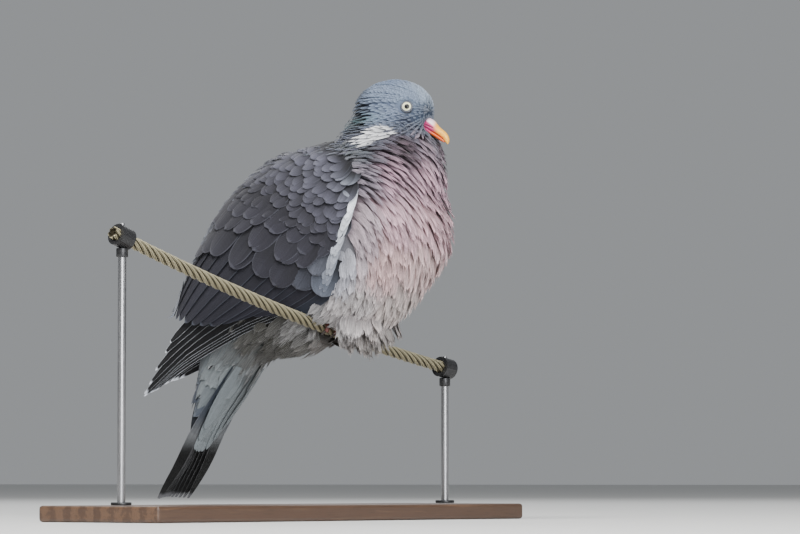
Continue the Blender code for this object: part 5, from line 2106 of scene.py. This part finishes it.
@dataclass
class Foot:
    """One foot: a short shank and four ringed toes round the rope, with their claws.

    toe holds a toe's radius at its root and end, claw a claw's radius and how many degrees of the rope it
    spans, and shank the shank's radius and length. Toes start at heel and reach to wrap, in degrees.
    """

    side: Side
    place: float
    perch: Perch
    toe: tuple[float, float] = (2.3, 1.6)
    heel: float = -14.0
    claw: tuple[float, float] = (1.25, 44.0)
    shank: tuple[float, float] = (2.4, 17.6)
    wrap: ClassVar[dict] = {1: 124.0, -1: 98.0}
    toes: ClassVar[dict] = {"inner": (1, 10.0), "middle": (1, 0.0), "outer": (1, -10.0), "hind": (-1, 0.0)}

    def path(self, way: int, spread: float, start: float, end: float, radius: float, steps: int) -> Array:
        """Points round the rope between two angles, forward for way 1 and back for way -1."""
        angle = np.radians(np.linspace(start, end, steps))
        s = self.place + spread * np.minimum(1.0, (angle + 0.35) / 1.6)
        return self.perch.ring(s, np.full(steps, self.perch.diameter / 2 + 0.25 + radius), way * angle)

    def limb(self, name: str, path: Array, radii: Array, sides: int = 14) -> Thing:
        """A round limb along a path, closed at both ends.

        Args:
            name: its name.
            path: its middle line.
            radii: its radius at each point.
            sides: how many faces go round it.

        Returns:
            The object.
        """
        ahead = unit(np.gradient(path, axis=0))
        side = unit(np.cross(ahead, [0.3, 0.2, 1.0]))
        up = np.cross(side, ahead)
        angle = (2 * math.pi * np.arange(sides) / sides)[None, :, None]
        round_it = side[:, None] * np.cos(angle) + up[:, None] * np.sin(angle)
        rings = path[:, None] + radii[:, None, None] * round_it
        last = (len(path) - 1) * sides
        corners = []
        for i in range(0, last, sides):
            for k in range(sides):
                a, b = i + k, i + (k + 1) % sides
                corners += [a, b, b + sides, a + sides]
        corners += [*reversed(range(sides)), *range(last, last + sides)]
        sizes = np.array([4] * last + [sides, sides])
        made = mesh_object(name, in_frame(rings.reshape(-1, 3)), sizes, np.array(corners))
        Bench.take(made)
        with Bench.editing():
            bpy.ops.mesh.normals_make_consistent(inside=False)
        return made

    def build(self) -> list[Thing]:
        """Make the foot and its claws."""
        limbs, made = [], []
        thick, thin = self.toe
        for toe, (way, spread) in self.toes.items():
            t = np.linspace(0, 1, 60)
            wrap = self.wrap[way]
            path = self.path(way, spread, self.heel, wrap, thick, len(t))
            scales = 0.10 * np.abs(np.sin(t * 11 * math.pi)) + 0.16 * np.cos(t * 4 * 2 * math.pi)
            limbs.append(self.limb(f"toe_{toe}", path, thick + (thin - thick) * t**1.5 + scales))
            t = np.linspace(0, 1, 14)
            start = wrap + 4
            path = self.path(way, spread, start, start + self.claw[1], thin * 0.85, len(t))
            solid = f"claw_{self.side.label}_{toe}"
            claw = self.limb(f"{solid}_horn", path, self.claw[0] - 1.08 * t**1.6, 12)
            made.append(finish_piece(claw, "claw", (solid,)))
        top = self.perch.line(self.place) + [0, 0, self.perch.diameter / 2 + 0.3 + self.toe[0]]
        lean = unit(np.array([-0.25, 0.0, 1.0]))
        t = np.linspace(0, 1, 30)
        path = top + lean * (-0.6 + self.shank[1] * t)[:, None]
        limbs.append(self.limb("shank", path, self.shank[0] + 0.12 * np.abs(np.sin(t * 9 * math.pi))))
        solid = f"leg_{self.side.label}"
        leg = Bench.join(limbs, f"{solid}_scaled")
        return [finish_piece(leg, "foot", (solid,)), *made]


# ---- stand, studio


@dataclass
class Stand:
    """The base, rods and collars that carry the rope, dressed, with their small fittings."""

    ends: tuple[str, ...] = ("near", "far")
    flange: tuple[float, float] = (7.5, 2.2)
    ferrule: tuple[float, float] = (4.3, 6.6)
    ferrule_reach: float = 2.3
    screw: tuple[float, float] = (1.7, 2.4)
    screw_depth: float = 0.7

    def dress(self) -> None:
        """Give the solids their materials."""
        finishes = {"stand_base": "wood"}
        for end in self.ends:
            finishes |= {f"stand_rod_{end}": "rod", f"stand_clamp_{end}": "collar"}
        for node, finish in finishes.items():
            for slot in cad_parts[node].material_slots:
                slot.material = FINISHES[finish]

    @staticmethod
    def turned(size: tuple[float, float], box: tuple[Vector, Vector], height: float, vertices: int) -> Thing:
        """An upright cylinder in the middle of a box.

        Args:
            size: its radius and length.
            box: the box's corners, in metres.
            height: the height of its middle, in metres.
            vertices: how many faces go round it.

        Returns:
            The cylinder.
        """
        low, high = box
        at = ((low.x + high.x) / 2, (low.y + high.y) / 2, height)
        Bench.clear()
        bpy.ops.mesh.primitive_cylinder_add(
            vertices=vertices, radius=size[0] * MM, depth=size[1] * MM, location=at
        )
        return bpy.context.active_object

    def flanges(self) -> Thing:
        """A bevelled flange where each rod meets the base, and a ferrule where it meets its collar."""
        things = []
        for end in self.ends:
            low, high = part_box(f"stand_rod_{end}")
            rings = (
                (self.flange, low.z + self.flange[1] * MM / 2),
                (self.ferrule, high.z + (self.ferrule_reach - self.ferrule[1] / 2) * MM),
            )
            for size, height in rings:
                thing = Bench.settle(self.turned(size, (low, high), height, 48))
                Bench.modify(thing, "BEVEL", width=0.6 * MM, segments=3, limit_method="ANGLE")
                things.append(thing)
        made = Bench.join(things, "stand_flanges")
        bpy.ops.object.shade_smooth_by_angle(angle=math.radians(35))
        return finish_piece(made, "collar")

    def screws(self) -> Thing:
        """A socket screw in the top of each collar."""
        things = []
        for end in self.ends:
            low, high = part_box(f"stand_clamp_{end}")
            thing = self.turned(self.screw, (low, high), high.z - self.screw_depth * MM, 32)
            with Bench.editing("DESELECT"):
                pass  # the new cylinder comes selected, and only its top may be
            for face in thing.data.polygons:
                face.select = face.normal.z > 0.9
            with Bench.editing(None):
                bpy.ops.mesh.inset(thickness=0.75 * MM, depth=0)
                bpy.ops.mesh.extrude_region_move(TRANSFORM_OT_translate={"value": (0, 0, -1.2 * MM)})
            Bench.settle(thing)
            Bench.modify(thing, "BEVEL", width=0.15 * MM, segments=2, limit_method="ANGLE")
            things.append(thing)
        return finish_piece(Bench.join(things, "stand_screws"), "rod")

    def build(self) -> list[Thing]:
        """Dress the stand and add its fittings."""
        self.dress()
        return [self.flanges(), self.screws()]


@dataclass
class Studio:
    """Floor, soft lights and camera."""

    turn: float = math.radians(25.0)
    look_up: float = math.radians(3.1)
    distance: float = 3.0
    lens: float = 175.5
    target: tuple[float, float] = (50.0, 56.0)
    lit: Triple = (20.0, 0.0, 80.0)

    def camera(self) -> None:
        """The camera, low and in front of the bird's right side."""
        right = np.array([math.cos(self.turn), math.sin(self.turn), 0.0])
        c = math.cos(self.look_up)
        view = np.array([-math.sin(self.turn) * c, math.cos(self.turn) * c, math.sin(self.look_up)])
        middle = in_frame(right * self.target[0] + np.array([0, 0, self.target[1]]))
        data = bpy.data.cameras.new("camera")
        data.lens, data.sensor_width = self.lens, 36.0
        data.clip_start, data.clip_end = 0.05, 60.0
        made = Bench.add("camera", data)
        Bench.aim(made, view, middle - view * self.distance, "-Z")
        bpy.context.scene.camera = made

    def floor(self) -> None:
        """A plain pale floor."""
        Bench.clear()
        bpy.ops.mesh.primitive_plane_add(size=30.0, location=(0, 0, 0))
        thing = bpy.context.active_object
        thing.name = "floor"
        shade = Shade("floor_paper", Roughness=0.9, Specular_IOR_Level=0.1)
        cloud = shade.noise(shade.place(), 30.0, 3.0)
        shade.drive("Base Color", cloud.between((0.62, 0.62, 0.61), (0.65, 0.65, 0.64)))
        thing.data.materials.append(shade.material)

    def light(self, name: str, at: Triple, size: float, power: float, colour: Triple) -> None:
        """A soft square light aimed at the bird: its place and side in metres, its power in watts."""
        data = bpy.data.lights.new(name, "AREA")
        data.shape, data.size, data.energy, data.color = "SQUARE", size, power, colour
        Bench.aim(Bench.add(name, data), in_frame(self.lit) - np.array(at), at, "-Z")

    def lights(self) -> None:
        """An overcast sky's light: high and wide, with a gentle front fill."""
        self.light("key", (0.1, -1.4, 2.2), 1.3, 92.0, (1.0, 0.985, 0.96))
        self.light("front", (1.9, -1.9, 1.0), 1.6, 100.0, (0.97, 0.98, 1.0))
        self.light("back", (-1.0, 1.7, 1.9), 1.5, 26.0, (0.96, 0.98, 1.0))
        world = bpy.data.worlds.new("studio")
        world.use_nodes = True
        sky = world.node_tree.nodes["Background"].inputs
        sky["Color"].default_value = (0.80, 0.83, 0.86, 1.0)
        sky["Strength"].default_value = 0.38
        bpy.context.scene.world = world


def tinted(name: str, **values: object) -> bpy.types.Material:
    """A material that only shows the mesh's tint, with a fine grain."""
    shade = Shade(name, **values)
    cloud = shade.noise(shade.place(), 1400.0, 4.0)
    shade.drive("Base Color", shade.attribute("Tint") * cloud.ease(0.2, 0.8, 0.88, 1.1))
    shade.bump(cloud, 0.04)
    return shade.material


def wood(name: str) -> bpy.types.Material:
    """Dark stained wood with grain along the base."""
    shade = Shade(name, Coat_Weight=0.25, Coat_Roughness=0.25)
    where = shade.place()
    settings = {"rotation_type": "Z_AXIS"}
    turn = shade.node("ShaderNodeVectorRotate", settings, {"Vector": where, "Angle": -Perch.heading})
    grain = shade.noise(turn * (14.0, 260.0, 260.0), 1.0, 6.0, 0.6)
    pores = shade.noise(turn * (60.0, 1500.0, 1500.0), 1.0, 2.0)
    rings = ((turn.part("Y") * 420.0 + grain * 9.0).sine() * 0.5 + 0.5).ease(0.1, 0.9)
    base = (rings * 0.6 + grain * 0.4).between((0.055, 0.028, 0.016), (0.13, 0.07, 0.038))
    shade.drive("Base Color", base * pores.ease(0.3, 0.5, 0.75, 1.0))
    shade.drive("Roughness", grain.ease(0.3, 0.7, 0.42, 0.55))
    shade.bump(rings * 0.5 + pores * 0.5, 0.05)
    return shade.material


def make_finishes() -> dict[str, bpy.types.Material]:
    """All the materials, by name."""
    vanes = [
        PlumageFinish("head_plumage", barbs=5, barb_mm=0.05, shaft=0.05, fringe=(0.30, 0.36, 0.45),
                      fringe_share=0.1),
        PlumageFinish("neck_plumage", barbs=12, shaft=0.05, roughness=0.5, streak=0.25),
        PlumageFinish("breast_plumage", barbs=16, shaft=0.05, fringe=(0.75, 0.62, 0.62), fringe_share=0.08,
                      streak=0.30),
        PlumageFinish("down_plumage", barbs=18, shaft=0.02, fringe=(0.75, 0.75, 0.78), fringe_share=0.1,
                      sheen=0.4, streak=0.25),
        PlumageFinish("mantle_plumage", barbs=18, shaft=0.08, fringe=(0.22, 0.23, 0.27), fringe_share=0.25),
        PlumageFinish("covert_plumage", barbs=22, shaft=0.06, fringe=(0.095, 0.098, 0.125), fringe_share=0.32,
                      sheen=0.12),
        PlumageFinish("quill_plumage", barbs=60, shaft=0.05, fringe=(0.10, 0.115, 0.15), fringe_share=0.5,
                      fringe_width=0.05, sheen=0.04),
        PlumageFinish("flight_plumage", barbs=80, shaft=0.3, fringe=(0.80, 0.84, 0.92), fringe_share=0.95,
                      fringe_width=0.075, roughness=0.6, sheen=0.0),
        PlumageFinish("tail_plumage", barbs=80, shaft=0.2, fringe=(0.30, 0.30, 0.32), fringe_share=0.5,
                      fringe_width=0.08, roughness=0.7, sheen=0.0),
        PlumageFinish("undertail_plumage", barbs=30, shaft=0.02, fringe=(0.24, 0.27, 0.29), fringe_share=0.2,
                      sheen=0.1),
    ]
    plain = [
        Finish("rod", (0.32, 0.32, 0.33), (0.40, 0.40, 0.41), 0.32, 1.0, 0.0, 500.0, 0.01, (1.0, 1.0, 0.02)),
        Finish("collar", (0.030, 0.030, 0.032), (0.05, 0.05, 0.052), 0.42, 0.6, 0.1, 700.0, 0.02),
        Finish("foot", (0.06, 0.018, 0.015), (0.17, 0.05, 0.04), 0.55, 0.0, 0.1, 600.0, 0.12),
        Finish("claw", (0.018, 0.014, 0.012), (0.05, 0.04, 0.034), 0.35, 0.0, 0.2, 500.0, 0.03),
        Finish("lid", (0.05, 0.055, 0.07), (0.13, 0.14, 0.17), 0.55, 0.0, 0.0, 1500.0, 0.06),
    ]
    made = {finish.name: finish.make() for finish in (*vanes, *plain)}
    made["skin_down_and_shade"] = tinted("skin_down_and_shade", Roughness=0.9, Specular_IOR_Level=0.1)
    made["eye"] = tinted(
        "eye_gloss", Roughness=0.3, Specular_IOR_Level=0.15, Coat_Weight=0.3, Coat_Roughness=0.03
    )
    made["bill"] = tinted("bill_horn", Roughness=0.38, Coat_Weight=0.15)
    made["strand"] = tinted("rope_strand", Roughness=0.42, Metallic=0.55)
    made["wood"] = wood("stained_wood")
    return made


FINISHES: dict[str, bpy.types.Material] = {}


def main() -> None:
    """Build every sub-assembly in order and report its pieces."""
    logging.basicConfig(level=logging.INFO, format="%(message)s")
    studio = Studio()
    studio.camera()
    studio.floor()
    studio.lights()
    FINISHES.update(make_finishes())
    perch = Perch()
    parts = [
        Body(),
        Wing(Side.RIGHT, 0.0),
        Wing(Side.LEFT, 14.0),
        Tail(),
        Eye(Side.RIGHT),
        Eye(Side.LEFT),
        Bill(),
        perch,
        Foot(Side.RIGHT, -12.0, perch),
        Foot(Side.LEFT, 19.0, perch),
        Stand(),
    ]
    for part in parts:
        pieces = part.build()
        LOG.info("%s: %s", type(part).__name__, ", ".join(f"{p.name} {triangles(p)}" for p in pieces))


if __name__ == "__main__":
    main()
